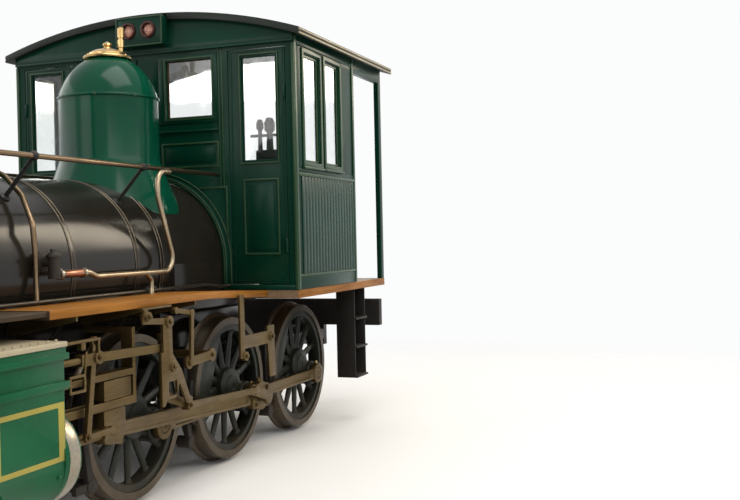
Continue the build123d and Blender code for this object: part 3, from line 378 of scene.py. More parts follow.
def plug(tree, item, sock):
    """Links a socket to another one, or sets it to a number or a colour."""
    if isinstance(item, bpy.types.NodeSocket):
        tree.links.new(item, sock)
    else:
        sock.default_value = item if isinstance(item, (int, float)) else (*item[:3], 1)


def sum_of(tree, op, a, b, clamp=False):
    n = put(tree, "ShaderNodeMath", operation=op, use_clamp=clamp)
    plug(tree, a, n.inputs[0])
    plug(tree, b, n.inputs[1])
    return n.outputs[0]


def span(tree, value, *ends):
    """Maps a value from one range to another, which is 0 to 1 if it isn't given."""
    n = put(tree, "ShaderNodeMapRange", clamp=True)
    plug(tree, value, n.inputs["Value"])
    for key, item in zip(("From Min", "From Max", "To Min", "To Max"), ends):
        plug(tree, item, n.inputs[key])
    return n.outputs["Result"]


def blend(tree, fac, a, b):
    n = put(tree, "ShaderNodeMix", data_type="RGBA")
    plug(tree, fac, n.inputs["Factor"])
    for item, sock in zip((a, b), [s for s in n.inputs if s.type == "RGBA"]):
        plug(tree, item, sock)
    return [s for s in n.outputs if s.type == "RGBA"][0]


def here(tree):
    return tree.nodes.new("ShaderNodeTexCoord").outputs["Object"]


def facing(tree):
    return tree.nodes.new("ShaderNodeNewGeometry").outputs["Normal"]


def vector_math(tree, op, a, b):
    n = put(tree, "ShaderNodeVectorMath", operation=op)
    plug(tree, a, n.inputs[0])
    plug(tree, b, n.inputs[1])
    return n.outputs


def height_of(tree, vector):
    n = tree.nodes.new("ShaderNodeSeparateXYZ")
    plug(tree, vector, n.inputs[0])
    return n.outputs["Z"]


def noise(tree, vector, scale, detail, roughness=0.5):
    n = put(tree, "ShaderNodeTexNoise", Roughness=roughness)
    for key, item in (("Vector", vector), ("Scale", scale), ("Detail", detail)):
        plug(tree, item, n.inputs[key])
    return n.outputs["Fac"]


def make_wear():
    tree, given, result = new_group("edge_wear", ("Mask",), Radius=0.004, Scale=30.0, Amount=0.5)
    soft = put(tree, "ShaderNodeBevel", samples=4)
    plug(tree, given["Radius"], soft.inputs["Radius"])
    dot = vector_math(tree, "DOT_PRODUCT", soft.outputs[0], facing(tree))
    edge = span(tree, dot["Value"], 0.995, 0.86)
    chips = span(tree, noise(tree, here(tree), given["Scale"], 6.0, 0.65), 0.48, 0.62)
    mask = sum_of(tree, "MULTIPLY", edge, chips)
    plug(tree, sum_of(tree, "MULTIPLY", mask, given["Amount"], True), result["Mask"])
    return tree


def make_dust():
    tree, given, result = new_group("dust", ("Mask",), Level=0.6, Low=0.5, Top=0.3, Scale=4.0)
    up = sum_of(tree, "MULTIPLY", span(tree, height_of(tree, facing(tree)), 0.35, 1.0), given["Top"])
    place = here(tree)
    low = sum_of(tree, "MULTIPLY", span(tree, height_of(tree, place), given["Level"], 0.0), given["Low"])
    cloud = span(tree, noise(tree, place, given["Scale"], 7.0, 0.6), 0.35, 0.7)
    plug(tree, sum_of(tree, "MULTIPLY", sum_of(tree, "ADD", up, low), cloud, True), result["Mask"])
    return tree


def make_mottle():
    tree, given, result = new_group("mottle", ("Shade", "Height"), Scale=3.0, Fine=300.0)
    place = here(tree)
    wide = noise(tree, place, given["Scale"], 5.0)
    fine = noise(tree, place, given["Fine"], 2.0)
    plug(tree, span(tree, wide, 0.3, 0.7), result["Shade"])
    plug(tree, sum_of(tree, "ADD", wide, sum_of(tree, "MULTIPLY", fine, 0.4)), result["Height"])
    return tree


def make_grain():
    tree, given, result = new_group("grain", ("Shade", "Height"), Stretch=(1.0, 40.0, 40.0), Detail=6.0)
    long = vector_math(tree, "MULTIPLY", here(tree), given["Stretch"])[0]
    lines = noise(tree, long, 1.0, given["Detail"], 0.6)
    plug(tree, span(tree, lines, 0.3, 0.72), result["Shade"])
    plug(tree, lines, result["Height"])
    return tree


MAKERS = {"edge_wear": make_wear, "dust": make_dust, "mottle": make_mottle, "grain": make_grain}
GROUPS = {}
FINISHES = {}


def use_group(tree, name, **values):
    if name not in GROUPS:
        GROUPS[name] = MAKERS[name]()
    n = tree.nodes.new("ShaderNodeGroup")
    n.node_tree = GROUPS[name]
    for key, value in values.items():
        n.inputs[key].default_value = value
    return n.outputs


def start(name):
    finish = bpy.data.materials.new(name)
    finish.use_nodes = True
    FINISHES[name] = finish
    return finish.node_tree, finish.node_tree.nodes["Principled BSDF"]


def relief(tree, shader, height, strength, distance):
    n = put(tree, "ShaderNodeBump", Strength=strength, Distance=distance)
    plug(tree, height, n.inputs["Height"])
    plug(tree, n.outputs[0], shader.inputs["Normal"])


def layers(tree, shader, shade, shades, edges, dirt, rough, grime):
    """Two shades of a colour under worn edges and settled dirt, which also roughens by grime."""
    colour = blend(tree, shade, *shades)
    colour = blend(tree, edges[0], colour, edges[1])
    plug(tree, blend(tree, dirt[0], colour, dirt[1]), shader.inputs["Base Color"])
    gloss = span(tree, shade, 0.0, 1.0, *rough)
    if grime:
        gloss = sum_of(tree, "ADD", gloss, sum_of(tree, "MULTIPLY", dirt[0], grime), True)
    plug(tree, gloss, shader.inputs["Roughness"])


def painted(name, base, deep, rough, coat, wear, bare, dusty, dust_colour=(0.12, 0.1, 0.07), bump=0.05, scale=2.5,
            shine=0.2):
    """Paint on metal or wood: two shades, worn edges and settled dust."""
    tree, shader = start(name)
    mottle = use_group(tree, "mottle", Scale=scale, Fine=260.0)
    worn = use_group(tree, "edge_wear", Radius=0.003, Scale=24.0, Amount=wear)["Mask"]
    dirt = use_group(tree, "dust", Level=0.7, Low=dusty[1], Top=dusty[0], Scale=3.5)["Mask"]
    layers(tree, shader, mottle["Shade"], (base, deep), (worn, bare), (dirt, dust_colour), rough, grime=0.45)
    shader.inputs["Specular IOR Level"].default_value = shine
    shader.inputs["Coat Weight"].default_value = coat
    shader.inputs["Coat Roughness"].default_value = 0.12
    relief(tree, shader, mottle["Height"], bump, 0.001)


# How a metal's grain is stretched: the same all ways, or drawn round the Y axis
EVEN, LATHED = (30.0, 30.0, 30.0), (60.0, 8.0, 60.0)


def metal(name, base, deep, rough, stretch=EVEN, metallic=1.0, wear=0.4, bright=(0.75, 0.7, 0.62), dusty=(0.1, 0.3),
          dust_colour=(0.2, 0.14, 0.09), bump=0.12):
    """Bare metal with a worked grain, brighter edges and oily dirt."""
    tree, shader = start(name)
    grain = use_group(tree, "grain", Stretch=stretch, Detail=6.0)
    mottle = use_group(tree, "mottle", Scale=5.0, Fine=120.0)
    worn = use_group(tree, "edge_wear", Radius=0.003, Scale=18.0, Amount=wear)["Mask"]
    dirt = use_group(tree, "dust", Level=0.7, Low=dusty[1], Top=dusty[0], Scale=6.0)["Mask"]
    shade = sum_of(tree, "MULTIPLY", sum_of(tree, "ADD", grain["Shade"], mottle["Shade"]), 0.5)
    layers(tree, shader, shade, (base, deep), (worn, bright), (dirt, dust_colour), rough, grime=0.35)
    shader.inputs["Metallic"].default_value = metallic
    relief(tree, shader, grain["Height"], bump, 0.0008)


def timber(name, light, dark, dusty=0.2):
    """Oiled wood with its grain along one way and rubbed edges."""
    tree, shader = start(name)
    grain = use_group(tree, "grain", Stretch=(3.0, 45.0, 45.0), Detail=8.0)
    mottle = use_group(tree, "mottle", Scale=1.6, Fine=90.0)
    worn = use_group(tree, "edge_wear", Radius=0.004, Scale=12.0, Amount=0.3)["Mask"]
    dirt = use_group(tree, "dust", Level=0.2, Low=0.0, Top=dusty, Scale=3.0)["Mask"]
    shade = span(tree, sum_of(tree, "ADD", grain["Shade"], mottle["Shade"]), 0.4, 1.6)
    layers(tree, shader, shade, (light, dark), (worn, (0.55, 0.36, 0.2)), (dirt, (0.12, 0.09, 0.07)), (0.4, 0.6),
           grime=0)
    shader.inputs["Specular IOR Level"].default_value = 0.2
    relief(tree, shader, grain["Height"], 0.35, 0.0012)


def clear_glass(name, tint, rough=0.03):
    tree, shader = start(name)
    smears = use_group(tree, "mottle", Scale=9.0, Fine=60.0)
    plug(tree, blend(tree, smears["Shade"], tint, [c * 0.93 for c in tint]), shader.inputs["Base Color"])
    plug(tree, span(tree, smears["Shade"], 0.3, 1.0, rough, rough + 0.08), shader.inputs["Roughness"])
    shader.inputs["Transmission Weight"].default_value = 1.0
    shader.inputs["IOR"].default_value = 1.45
    relief(tree, shader, smears["Height"], 0.02, 0.001)


def mix_finishes():
    """Makes every finish the engine uses, with the panel's colours as their bases."""
    p = bpy.context.scene.engine_paints
    # Colour, deeper shade, roughness from and to, coat, wear, worn colour, dust on top and low down, dust's colour
    painted("cab_green", p.cab_green, (0.0008, 0.019, 0.010), (0.22, 0.36), 0.03, 0.25, (0.03, 0.07, 0.04),
            (0.06, 0.06), shine=0.13)
    painted("dome_green", p.dome_green, (0.0006, 0.036, 0.019), (0.15, 0.2), 0.1, 0.1, (0.05, 0.07, 0.03),
            (0.02, 0.0), bump=0.008, shine=0.12)
    painted("cylinder_green", p.cylinder_green, (0.002, 0.062, 0.022), (0.2, 0.32), 0.05, 0.3, (0.1, 0.12, 0.06),
            (0.08, 0.2), shine=0.12)
    # A lighter green that paints the highlights on raised beading, frames, rings, lugs and the lamp box's edge
    painted("highlit_bead_green", (0.024, 0.058, 0.026), (0.015, 0.042, 0.018), (0.25, 0.36), 0.08, 0.5, (0.12, 0.14, 0.08),
            (0.06, 0.0))
    painted("sash_brown", (0.07, 0.045, 0.022), (0.045, 0.028, 0.013), (0.3, 0.45), 0.05, 0.3, (0.16, 0.1, 0.05),
            (0.06, 0.0))
    painted("boiler_black", p.boiler_black, (0.009, 0.0075, 0.0055), (0.15, 0.22), 0.15, 0.2, (0.08, 0.06, 0.04),
            (0.05, 0.0), (0.08, 0.055, 0.035), bump=0.015, scale=1.6)
    painted("smokebox_black", (0.016, 0.015, 0.014), (0.009, 0.0085, 0.008), (0.35, 0.55), 0.02, 0.3,
            (0.12, 0.1, 0.07), (0.15, 0.0), bump=0.15)
    painted("frame_black", (0.016, 0.014, 0.012), (0.008, 0.007, 0.006), (0.4, 0.62), 0.0, 0.45, (0.14, 0.1, 0.065),
            (0.3, 0.4), (0.075, 0.05, 0.03), 0.2, 6.0)
    painted("roof_paint", (0.012, 0.017, 0.012), (0.007, 0.01, 0.007), (0.4, 0.6), 0.02, 0.35, (0.1, 0.1, 0.08),
            (0.25, 0.0), bump=0.25, scale=1.2)
    # A cream that paints the highlights along the eave strips and on the steam chest's top and its nuts
    painted("highlight_cream", (0.42, 0.36, 0.24), (0.3, 0.25, 0.16), (0.3, 0.45), 0.1, 0.3, (0.5, 0.45, 0.36), (0.2, 0.0))
    # A near-black that paints the shade under the running board over the wheel centres
    painted("wheel_paint", p.wheel_paint, (0.007, 0.009, 0.006), (0.35, 0.55), 0.05, 0.45, (0.12, 0.09, 0.055),
            (0.25, 0.5), (0.07, 0.048, 0.028), 0.15, 5.0)
    painted("lining", p.lining, (0.24, 0.2, 0.035), (0.25, 0.4), 0.1, 0.3, (0.4, 0.36, 0.2), (0.1, 0.1), bump=0.02)
    painted("lamp_rim", (0.06, 0.007, 0.006), (0.035, 0.005, 0.004), (0.2, 0.3), 0.2, 0.3, (0.14, 0.07, 0.05),
            (0.1, 0.0))
    painted("gauge_face", (0.72, 0.7, 0.62), (0.6, 0.56, 0.46), (0.3, 0.4), 0.3, 0.1, (0.4, 0.38, 0.3), (0.1, 0.0))
    # Colour, deeper shade, roughness from and to, grain, metallic, wear, bright edges, dust on top and low down
    metal("motion_steel", p.motion_steel, (0.072, 0.046, 0.016), (0.36, 0.52), (5.0, 70.0, 70.0), 0.85, 0.6,
          (0.45, 0.37, 0.26), (0.1, 0.25), (0.09, 0.06, 0.03))
    # A dark brown-grey that paints the shade under the running board over the tyres and axles
    metal("shaded_tyre_steel", (0.095, 0.078, 0.056), (0.055, 0.042, 0.028), (0.3, 0.5), LATHED, 0.9, 0.5,
          (0.4, 0.35, 0.27))
    metal("cover_steel", (0.38, 0.35, 0.28), (0.24, 0.2, 0.145), (0.2, 0.36), LATHED, 0.95)
    metal("pipe_steel", p.pipe_steel, (0.22, 0.17, 0.11), (0.24, 0.36), EVEN, 0.95, 0.2, bump=0.02)
    metal("rail_bronze", (0.2, 0.14, 0.085), (0.12, 0.08, 0.045), (0.26, 0.4), EVEN, 0.95, 0.2, bump=0.02)
    # A lighter steel that paints the highlights along the boiler bands' edges
    metal("band_edge_highlight", (0.11, 0.09, 0.06), (0.07, 0.055, 0.035), (0.22, 0.34), EVEN, 0.8, 0.3, bump=0.02)
    metal("copper", (0.5, 0.24, 0.15), (0.3, 0.13, 0.08), (0.22, 0.34), wear=0.2, bump=0.03)
    metal("dark_pipe", (0.075, 0.065, 0.05), (0.045, 0.038, 0.028), (0.3, 0.45), EVEN, 0.8, 0.4, (0.3, 0.25, 0.18),
          bump=0.03)
    metal("brass", p.brass, (0.34, 0.215, 0.08), (0.2, 0.34), (25.0, 25.0, 25.0), 1.0, 0.3, (0.85, 0.66, 0.36),
          (0.1, 0.0), (0.16, 0.09, 0.035), 0.06)
    metal("cast_iron", (0.05, 0.043, 0.035), (0.028, 0.024, 0.02), (0.5, 0.7), (60.0, 60.0, 60.0), 0.6, 0.5,
          (0.2, 0.18, 0.15), (0.3, 0.4), (0.09, 0.06, 0.04), 0.4)
    # Light and dark grain, and dust on top
    timber("board_wood", p.board_wood, (0.155, 0.055, 0.005))
    timber("dark_wood", (0.05, 0.032, 0.016), (0.03, 0.018, 0.009))
    timber("floor_wood", (0.25, 0.16, 0.09), (0.12, 0.075, 0.04), 0.45)
    clear_glass("pane_glass", (0.93, 0.96, 0.95))
    clear_glass("lamp_glass", (0.86, 0.42, 0.34), 0.1)


def colour(label, text, value):
    return bpy.props.FloatVectorProperty(name=label, description=text, subtype="COLOR", size=3, min=0.0, max=1.0,
                                         default=value)


def length(label, text, value):
    return bpy.props.FloatProperty(name=label, description=text, default=value, min=0.0005, subtype="DISTANCE",
                                   unit="LENGTH")


class EnginePaints(bpy.types.PropertyGroup):
    """Colours of the engine's finishes."""
    cab_green: colour("Cab green", "Paint of the cab's walls and doors", (0.0012, 0.029, 0.0155))
    dome_green: colour("Dome green", "Enamel of the domes", (0.0008, 0.062, 0.03))
    cylinder_green: colour("Cylinder green", "Paint of the cylinder jackets", (0.003, 0.098, 0.035))
    boiler_black: colour("Boiler black", "Enamel of the boiler's jacket", (0.015, 0.0125, 0.009))
    # Near-black, which paints the shade under the running board over the wheel centres
    wheel_paint: colour("Wheel paint", "Paint of the wheel centres", (0.013, 0.016, 0.011))
    lining: colour("Lining", "Line round the cylinder panels", (0.38, 0.32, 0.055))
    motion_steel: colour("Motion steel", "Steel of the rods and valve gear", (0.145, 0.098, 0.037))
    pipe_steel: colour("Pipe steel", "Bright feed pipes", (0.42, 0.34, 0.23))
    brass: colour("Brass", "Dome ring and cab fittings", (0.6, 0.43, 0.2))
    board_wood: colour("Board wood", "Running board edge and planks", (0.29, 0.112, 0.01))


class CabSizes(bpy.types.PropertyGroup):
    """Sizes of the cab's joinery."""
    bead_width: length("Bead width", "Width of the beading round each panel", 0.014)
    bead_depth: length("Bead depth", "How far the beading stands out", 0.009)
    board_width: length("Board width", "Width of each match board on the cab's side", 0.062)


class WheelSizes(bpy.types.PropertyGroup):
    """Sizes of the coupled wheels' centres."""
    spokes: bpy.props.IntProperty(name="Spokes", description="Number of spokes in a coupled wheel", default=13, min=8,
                                  max=20)
    spoke_root: length("Spoke root", "Half width of a spoke at the hub", 0.036)
    spoke_tip: length("Spoke tip", "Half width of a spoke at the rim", 0.024)


class LiningSizes(bpy.types.PropertyGroup):
    """Sizes of the painted lines and the rivets."""
    lining_width: length("Lining width", "Width of the line round the cylinder panels", 0.027)
    rivet_radius: length("Rivet radius", "Radius of the smokebox rivets' heads", 0.011)


# The photo's camera: place, turns in degrees, and focal length over picture width
CAMERA_PLACE = (5.7767, 4.51, 1.7245)
CAMERA_TURNS = (20.3944, -0.8231, -1.2199)
CAMERA_FOCAL = 983.87 / 740
SENSOR = 36
# The floor fades out between these distances from the middle
FLOOR_FADE = (4.2, 10.0)
LAMP_TARGET = Vector((0, 0, 1.4))
WHITE, WARM = (1.0, 0.98, 0.95), (1.0, 0.86, 0.66)
# Name, place, power, width, height and colour
LAMPS = (("key", (3.0, 9.0, 7.0), 490, 16, 3.5, WHITE), ("fill", (11, -3, 5.5), 220, 7, 5, WHITE),
         ("top", (0.4, 3.0, 9.2), 460, 5.4, 5.4, WHITE), ("right", (1, -9, 6), 280, 14, 4, WHITE),
         ("back", (-9.0, 5.9, 6.4), 340, 3.0, 4.5, WARM), ("rear", (-9, -4, 6), 160, 6, 4, WHITE))


class ENGINE_OT_stage(bpy.types.Operator):
    """Floor, lights, world and camera"""
    bl_idname = "engine.stage"
    bl_label = "Stage"

    def execute(self, context):
        scene = context.scene
        yaw, pitch, roll = [math.radians(t) for t in CAMERA_TURNS]
        look = Vector((-math.cos(yaw) * math.cos(pitch), -math.sin(yaw) * math.cos(pitch), math.sin(pitch)))
        flat_right = look.cross(Vector((0, 0, 1))).normalized()
        flat_up = flat_right.cross(look)
        right = flat_right * math.cos(roll) + flat_up * math.sin(roll)
        up = -flat_right * math.sin(roll) + flat_up * math.cos(roll)
        data = bpy.data.cameras.new("camera")
        camera = bpy.data.objects.new("camera", data)
        scene.collection.objects.link(camera)
        place = Matrix((right, up, -look)).transposed().to_4x4()
        place.translation = Vector(CAMERA_PLACE)
        camera.matrix_world = place
        data.lens = CAMERA_FOCAL * SENSOR
        data.sensor_width = SENSOR
        data.clip_start = 0.05
        scene.camera = camera
        drop()
        bpy.ops.mesh.primitive_plane_add(size=90, location=(0, 0, -0.002))
        floor = context.object
        settle(floor)
        floor.name = "floor"
        tree, shader = start("floor_plain")
        shade = use_group(tree, "mottle", Scale=0.7, Fine=20.0)["Shade"]
        plug(tree, blend(tree, shade, (0.78, 0.77, 0.75), (0.76, 0.75, 0.73)), shader.inputs["Base Color"])
        shader.inputs["Roughness"].default_value = 0.75
        far = put(tree, "ShaderNodeVectorMath", operation="LENGTH")
        plug(tree, here(tree), far.inputs[0])
        joined = tree.nodes.new("ShaderNodeMixShader")
        plug(tree, span(tree, far.outputs["Value"], *FLOOR_FADE), joined.inputs[0])
        plug(tree, shader.outputs[0], joined.inputs[1])
        plug(tree, tree.nodes.new("ShaderNodeBsdfTransparent").outputs[0], joined.inputs[2])
        plug(tree, joined.outputs[0], tree.nodes["Material Output"].inputs["Surface"])
        paint(floor, "floor_plain")
        for name, spot, power, wide, high, tint in LAMPS:
            data = bpy.data.lights.new(name, "AREA")
            data.energy = power
            data.color = tint
            data.shape = "RECTANGLE"
            data.size = wide
            data.size_y = high
            lamp = bpy.data.objects.new(name, data)
            scene.collection.objects.link(lamp)
            lamp.location = spot
            lamp.rotation_euler = (LAMP_TARGET - Vector(spot)).to_track_quat("-Z", "Y").to_euler()
        world = bpy.data.worlds.new("studio")
        scene.world = world
        world.use_nodes = True
        tree = world.node_tree
        back = tree.nodes["Background"].inputs
        path = tree.nodes.new("ShaderNodeLightPath").outputs
        seen = sum_of(tree, "ADD", path["Is Camera Ray"], path["Is Transmission Ray"], True)
        seen = sum_of(tree, "ADD", seen, path["Is Glossy Ray"], True)
        back["Color"].default_value = (0.97, 0.975, 0.98, 1)
        plug(tree, span(tree, seen, 0.0, 1.0, 0.6, 1.0), back["Strength"])
        scene.view_settings.view_transform = "Standard"
        mix_finishes()
        return {"FINISHED"}


def dress_all(table):
    """Dresses solids from rows of edge width, finish and the solids' names."""
    for width, finish, nodes in table:
        for node in nodes.split():
            dressed(node, width, finish)


class ENGINE_OT_ironwork(bpy.types.Operator):
    """Frames, beams, brackets and other solids with rounded edges"""
    bl_idname = "engine.ironwork"
    bl_label = "Ironwork"

    def execute(self, context):
        dress_all((
            (0.004, "frame_black", "main_frames"), (0.002, "frame_black", "springs"),
            (0.005, "frame_black", "front_beam rear_beam"), (0.006, "cast_iron", "coupler_head coupler_knuckle"),
            (0.005, "frame_black", "pony_truck"), (0.003, "frame_black", "brake_gear"),
            (0.004, "frame_black", "ash_pan"), (0.003, "frame_black", "steps"),
            (0.004, "motion_steel", "motion_brackets"),
            (0.003, "motion_steel", "guide_bars reverse_shaft side_rod_left side_rod_right main_rod_left"),
            (0.003, "motion_steel", "main_rod_right crosshead_left crosshead_right valve_gear_left valve_gear_right"),
        ))
        return {"FINISHED"}


class ENGINE_OT_shells(bpy.types.Operator):
    """Smokebox, cab walls and roof, running boards, cylinders and pipes"""
    bl_idname = "engine.shells"
    bl_label = "Shells"

    def execute(self, context):
        dress_all((
            (0.003, "smokebox_black", "smokebox"), (0.004, "smokebox_black", "smokebox_door"),
            (0.003, "cab_green", "cab_front cab_side_left cab_side_right cab_door_left cab_door_right"),
            (0.003, "roof_paint", "cab_roof"), (0.003, "floor_wood", "cab_floor"), (0.003, "cab_green", "lamp_box"),
            (0.002, "brass", "backhead_fittings"), (0, "rail_bronze", "sand_pipes"),
            (0.004, "cylinder_green", "cylinder_left cylinder_right"),
        ))
        board = dressed("running_boards", 0.003, "board_wood")
        mark(board, "dark_wood", lambda c: c.x > 1.39)
        mark(bpy.data.objects["cab_floor_skin"], "board_wood", lambda c: abs(c.y) > 1.3 or c.x > CAB_X)
        dressed("feed_pipes", 0, None, lambda c: "dark_pipe" if c.z < SILL + 0.09 else "pipe_steel")
        valve = dressed("check_valves", 0.002, "cast_iron")
        neck = SILL + 0.27
        mark(valve, "copper", lambda c: c.x < 0.925 and c.z < neck)
        mark(valve, "cover_steel", lambda c: (0.903 <= c.x <= 0.933 or c.x < 0.706) and c.z < neck)
        for node in ("cab_glass", "door_glass_left", "door_glass_right"):
            paint(frame["nodes"][node], "pane_glass")
        return {"FINISHED"}


class ENGINE_OT_boiler(bpy.types.Operator):
    """Boiler with its bands, and the handrails with their posts"""
    bl_idname = "engine.boiler"
    bl_label = "Boiler and handrails"

    def execute(self, context):
        middle = (0, 0, BOILER_Z)
        back = BACKHEAD_X
        made = [turned([(0.0, back), (0.652, back), (0.66, back + 0.008), (0.66, -0.62), (BARREL_R, -0.3),
                        (BARREL_R, 1.474), (0.609, 1.48), (0.0, 1.48)], middle, "X", 144)]
        edges = []
        # Each band's place and radius
        for x, r in ((0.64, 0.614), (-0.06, 0.614), (-0.36, 0.6225)):
            out = r + 0.0055
            made.append(turned([(r, x - 0.022), (out, x - 0.02), (out, x + 0.02), (r, x + 0.022)], middle, "X", 144,
                               True))
            # Two thin rings on each band's edges, in a lighter finish that paints the band's highlights
            for e in (x - 0.0165, x + 0.0165):
                edges.append(turned([(r + 0.005, e - 0.0055), (r + 0.0075, e - 0.0035), (r + 0.0085, e),
                                     (r + 0.0075, e + 0.0035), (r + 0.005, e + 0.0055)], middle, "X", 144, True))
        made += [slab((back, -0.66, 1.195), (FIREBOX_X, 0.66, BOILER_Z), 0.004),
                 slab((back, -0.528, 0.72), (FIREBOX_X, 0.528, 1.2))]
        finish_piece("boiler_jacket", paint(made, "boiler_black") + paint(edges, "band_edge_highlight"), "engine", ("boiler",),
                     40)
        rails, posts = [], []
        slope = math.atan2(RAIL_Z - BOILER_Z, RAIL_Y)
        for sign in (1, -1):
            y, z = RAIL_Y * sign, RAIL_Z
            rails.append(bar((CAB_X + 0.023, y, z), (2.38, y, z), 0.017, 32, 0.003))
            way = Vector((0, sign * math.cos(slope), math.sin(slope)))
            # Each post's place, and the radius of what it stands on
            for x, foot in ((-0.121, BARREL_R), (1.018, BARREL_R), (2.157, SMOKEBOX_R)):
                mid = Vector((x, 0, BOILER_Z))
                posts.append(bar(mid + way * (foot + 0.004), mid + way * 0.935, 0.014, 24, 0, 0.0125))
                posts += moved([turned([(0.034, 0.0), (0.034, 0.006), (0.02, 0.014), (0.0, 0.014)])],
                               aim(mid + way * (foot + 0.002), way))
                posts.append(turned([(0.0, -0.03), (0.0165, -0.025), (0.026, -0.015), (0.03, 0.0), (0.026, 0.015),
                                     (0.0165, 0.025), (0.0, 0.03)], (x, y, z), "X", 32))
        finish_piece("handrail_set", paint(rails, "rail_bronze") + paint(posts, "smokebox_black"), "engine",
                     ("handrails",), 40)
        return {"FINISHED"}


def dome_line(radius, seam, top, top_r, flare, base):
    """Outline of a dome: flared foot, straight shell, bead at the seam and round crown."""
    # Height of the foot's lip and of its flare, and radius of the seam's bead
    lip, rise, swell = 0.01, 0.43, 0.012
    line = [(flare, base), (flare, base + lip)]
    for k in range(1, 15):
        u = k / 14
        line.append((radius + (flare - radius) * (1 - u) ** 1.22, base + lip + rise * u))
    line.append((radius, seam - swell))
    for k in range(1, 6):
        a = math.radians(-90 + 30 * k)
        line.append((radius + swell * math.cos(a), seam + swell * math.sin(a)))
    line.append((radius, seam + swell))
    # The crown is the arc through the seam, a point near its shoulder and the top
    ax, az = radius, seam + swell
    bx, bz = radius * 0.687, seam + (top - seam) * 0.738
    cx, cz = top_r, top
    d = 2 * (ax * (bz - cz) + bx * (cz - az) + cx * (az - bz))
    a2, b2, c2 = ax * ax + az * az, bx * bx + bz * bz, cx * cx + cz * cz
    mx = (a2 * (bz - cz) + b2 * (cz - az) + c2 * (az - bz)) / d
    mz = (a2 * (cx - bx) + b2 * (ax - cx) + c2 * (bx - ax)) / d
    r = math.hypot(ax - mx, az - mz)
    first = math.atan2(az - mz, ax - mx)
    last = math.atan2(cz - mz, cx - mx)
    for k in range(1, 17):
        a = first + (last - first) * k / 16
        line.append((mx + r * math.cos(a), mz + r * math.sin(a)))
    return line + [(0.0, top)]


class ENGINE_OT_domes(bpy.types.Operator):
    """Steam dome with its brass top and whistle, sand dome and chimney"""
    bl_idname = "engine.domes"
    bl_label = "Domes and chimney"

    def execute(self, context):
        x, seam, top = STEAM_DOME_X, SILL + 1.497, SILL + 1.806
        shell = turned(dome_line(0.374, seam, top, 0.15, 0.548, BOILER_Z + 0.37), (x, 0, 0), "Z", 128)
        # Lugs on the seam, in a lighter green that paints their highlights
        lugs = scatter(slab((-0.012, -0.01, -0.011), (0.012, 0.008, 0.011), 0.004),
                       [Matrix.Translation((x, 0, seam)) @ Matrix.Rotation(math.radians(45 * i + 20), 4, "Z")
                        @ Matrix.Translation((0, 0.379, 0)) for i in range(8)])
        finish_piece("steam_dome_jacket", [paint(shell, "dome_green")] + paint(lugs, "highlit_bead_green"), "engine",
                     ("steam_dome",), 40)
        crown = turned([(0.14, -0.006), (0.17, -0.002), (0.181, 0.003), (0.186, 0.012), (0.181, 0.02), (0.16, 0.024),
                        (0.142, 0.03), (0.142, 0.044), (0.134, 0.052), (0.1, 0.068), (0.06, 0.08), (0.034, 0.084),
                        (0.025, 0.1), (0.036, 0.112), (0.032, 0.124), (0.016, 0.134), (0.0, 0.142)],
                       (x, 0, top), "Z", 96)
        whistle = turned([(0.018, 0.03), (0.018, 0.09), (0.025, 0.094), (0.025, 0.15), (0.018, 0.154), (0.018, 0.164),
                          (0.025, 0.168), (0.025, 0.238), (0.018, 0.246), (0.008, 0.25), (0.0, 0.25)],
                         (x - 0.04, 0.096, top), "Z", 32)
        bolts = scatter(nut(0.008, 0.008), [aim((x + 0.162 * math.cos(a), 0.162 * math.sin(a), top + 0.022), (0, 0, 1))
                                            for a in [math.radians(30 * i) for i in range(12)]])
        finish_piece("dome_crown", paint([crown, whistle] + bolts, "brass"), "engine", ("dome_brass",))
        x = SAND_DOME_X
        sand = turned(dome_line(0.34, BOILER_Z + 1.01, BOILER_Z + 1.23, 0.12, 0.45, BOILER_Z + 0.34), (x, 0, 0), "Z",
                      80)
        lid = turned([(0.09, 1.22), (0.092, 1.226), (0.096, 1.24), (0.088, 1.252), (0.03, 1.258), (0.0, 1.26)],
                     (x, 0, BOILER_Z))
        finish_piece("sand_dome_jacket", paint([sand, lid], "dome_green"), "engine", ("sand_dome",), 40)
        x = STACK_X
        stack = turned([(0.268, 2.11), (0.268, 2.18), (0.236, 2.205), (0.207, 2.25), (0.19, 2.31), (0.181, 2.37),
                        (0.172, 3.22), (0.176, 3.27), (0.191, 3.33), (0.214, 3.362), (0.238, 3.384),
                        (0.256, 3.397), (0.262, 3.414), (0.256, 3.431), (0.238, 3.444), (0.218, 3.462),
                        (0.205, 3.48), (0.15, 3.48), (0.142, 3.472), (0.142, 2.4), (0.0, 2.4)], (x, 0, 0), "Z", 80)
        bolts = scatter(nut(0.014, 0.012), [aim((x + 0.25 * math.cos(a), 0.25 * math.sin(a), 2.196),
                                                (math.cos(a), math.sin(a), 1.3))
                                            for a in [math.radians(22.5 + 45 * i) for i in range(8)]])
        finish_piece("stack", paint([stack] + bolts, "smokebox_black"), "engine", ("chimney",), 40)
        return {"FINISHED"}


def raised_panel(at, u0, u1, v0, v1, w, d):
    """A bead frame on a front wall, which takes the painted highlight, and the raised field in it."""
    rim = bead("front", at, u0, u1, v0, v1, w, d)
    gap, lift = w * 2.4, d * 0.75
    field = bead("front", at, u0 + gap, u1 - gap, v0 + gap, v1 - gap, w * 1.5, lift * 0.5)
    gap += w
    core = cut_plate([(u0 + gap, v0 + gap), (u1 - gap, v0 + gap), (u1 - gap, v1 - gap), (u0 + gap, v1 - gap)],
                     "front", at, lift)
    return [rim], [field, core]


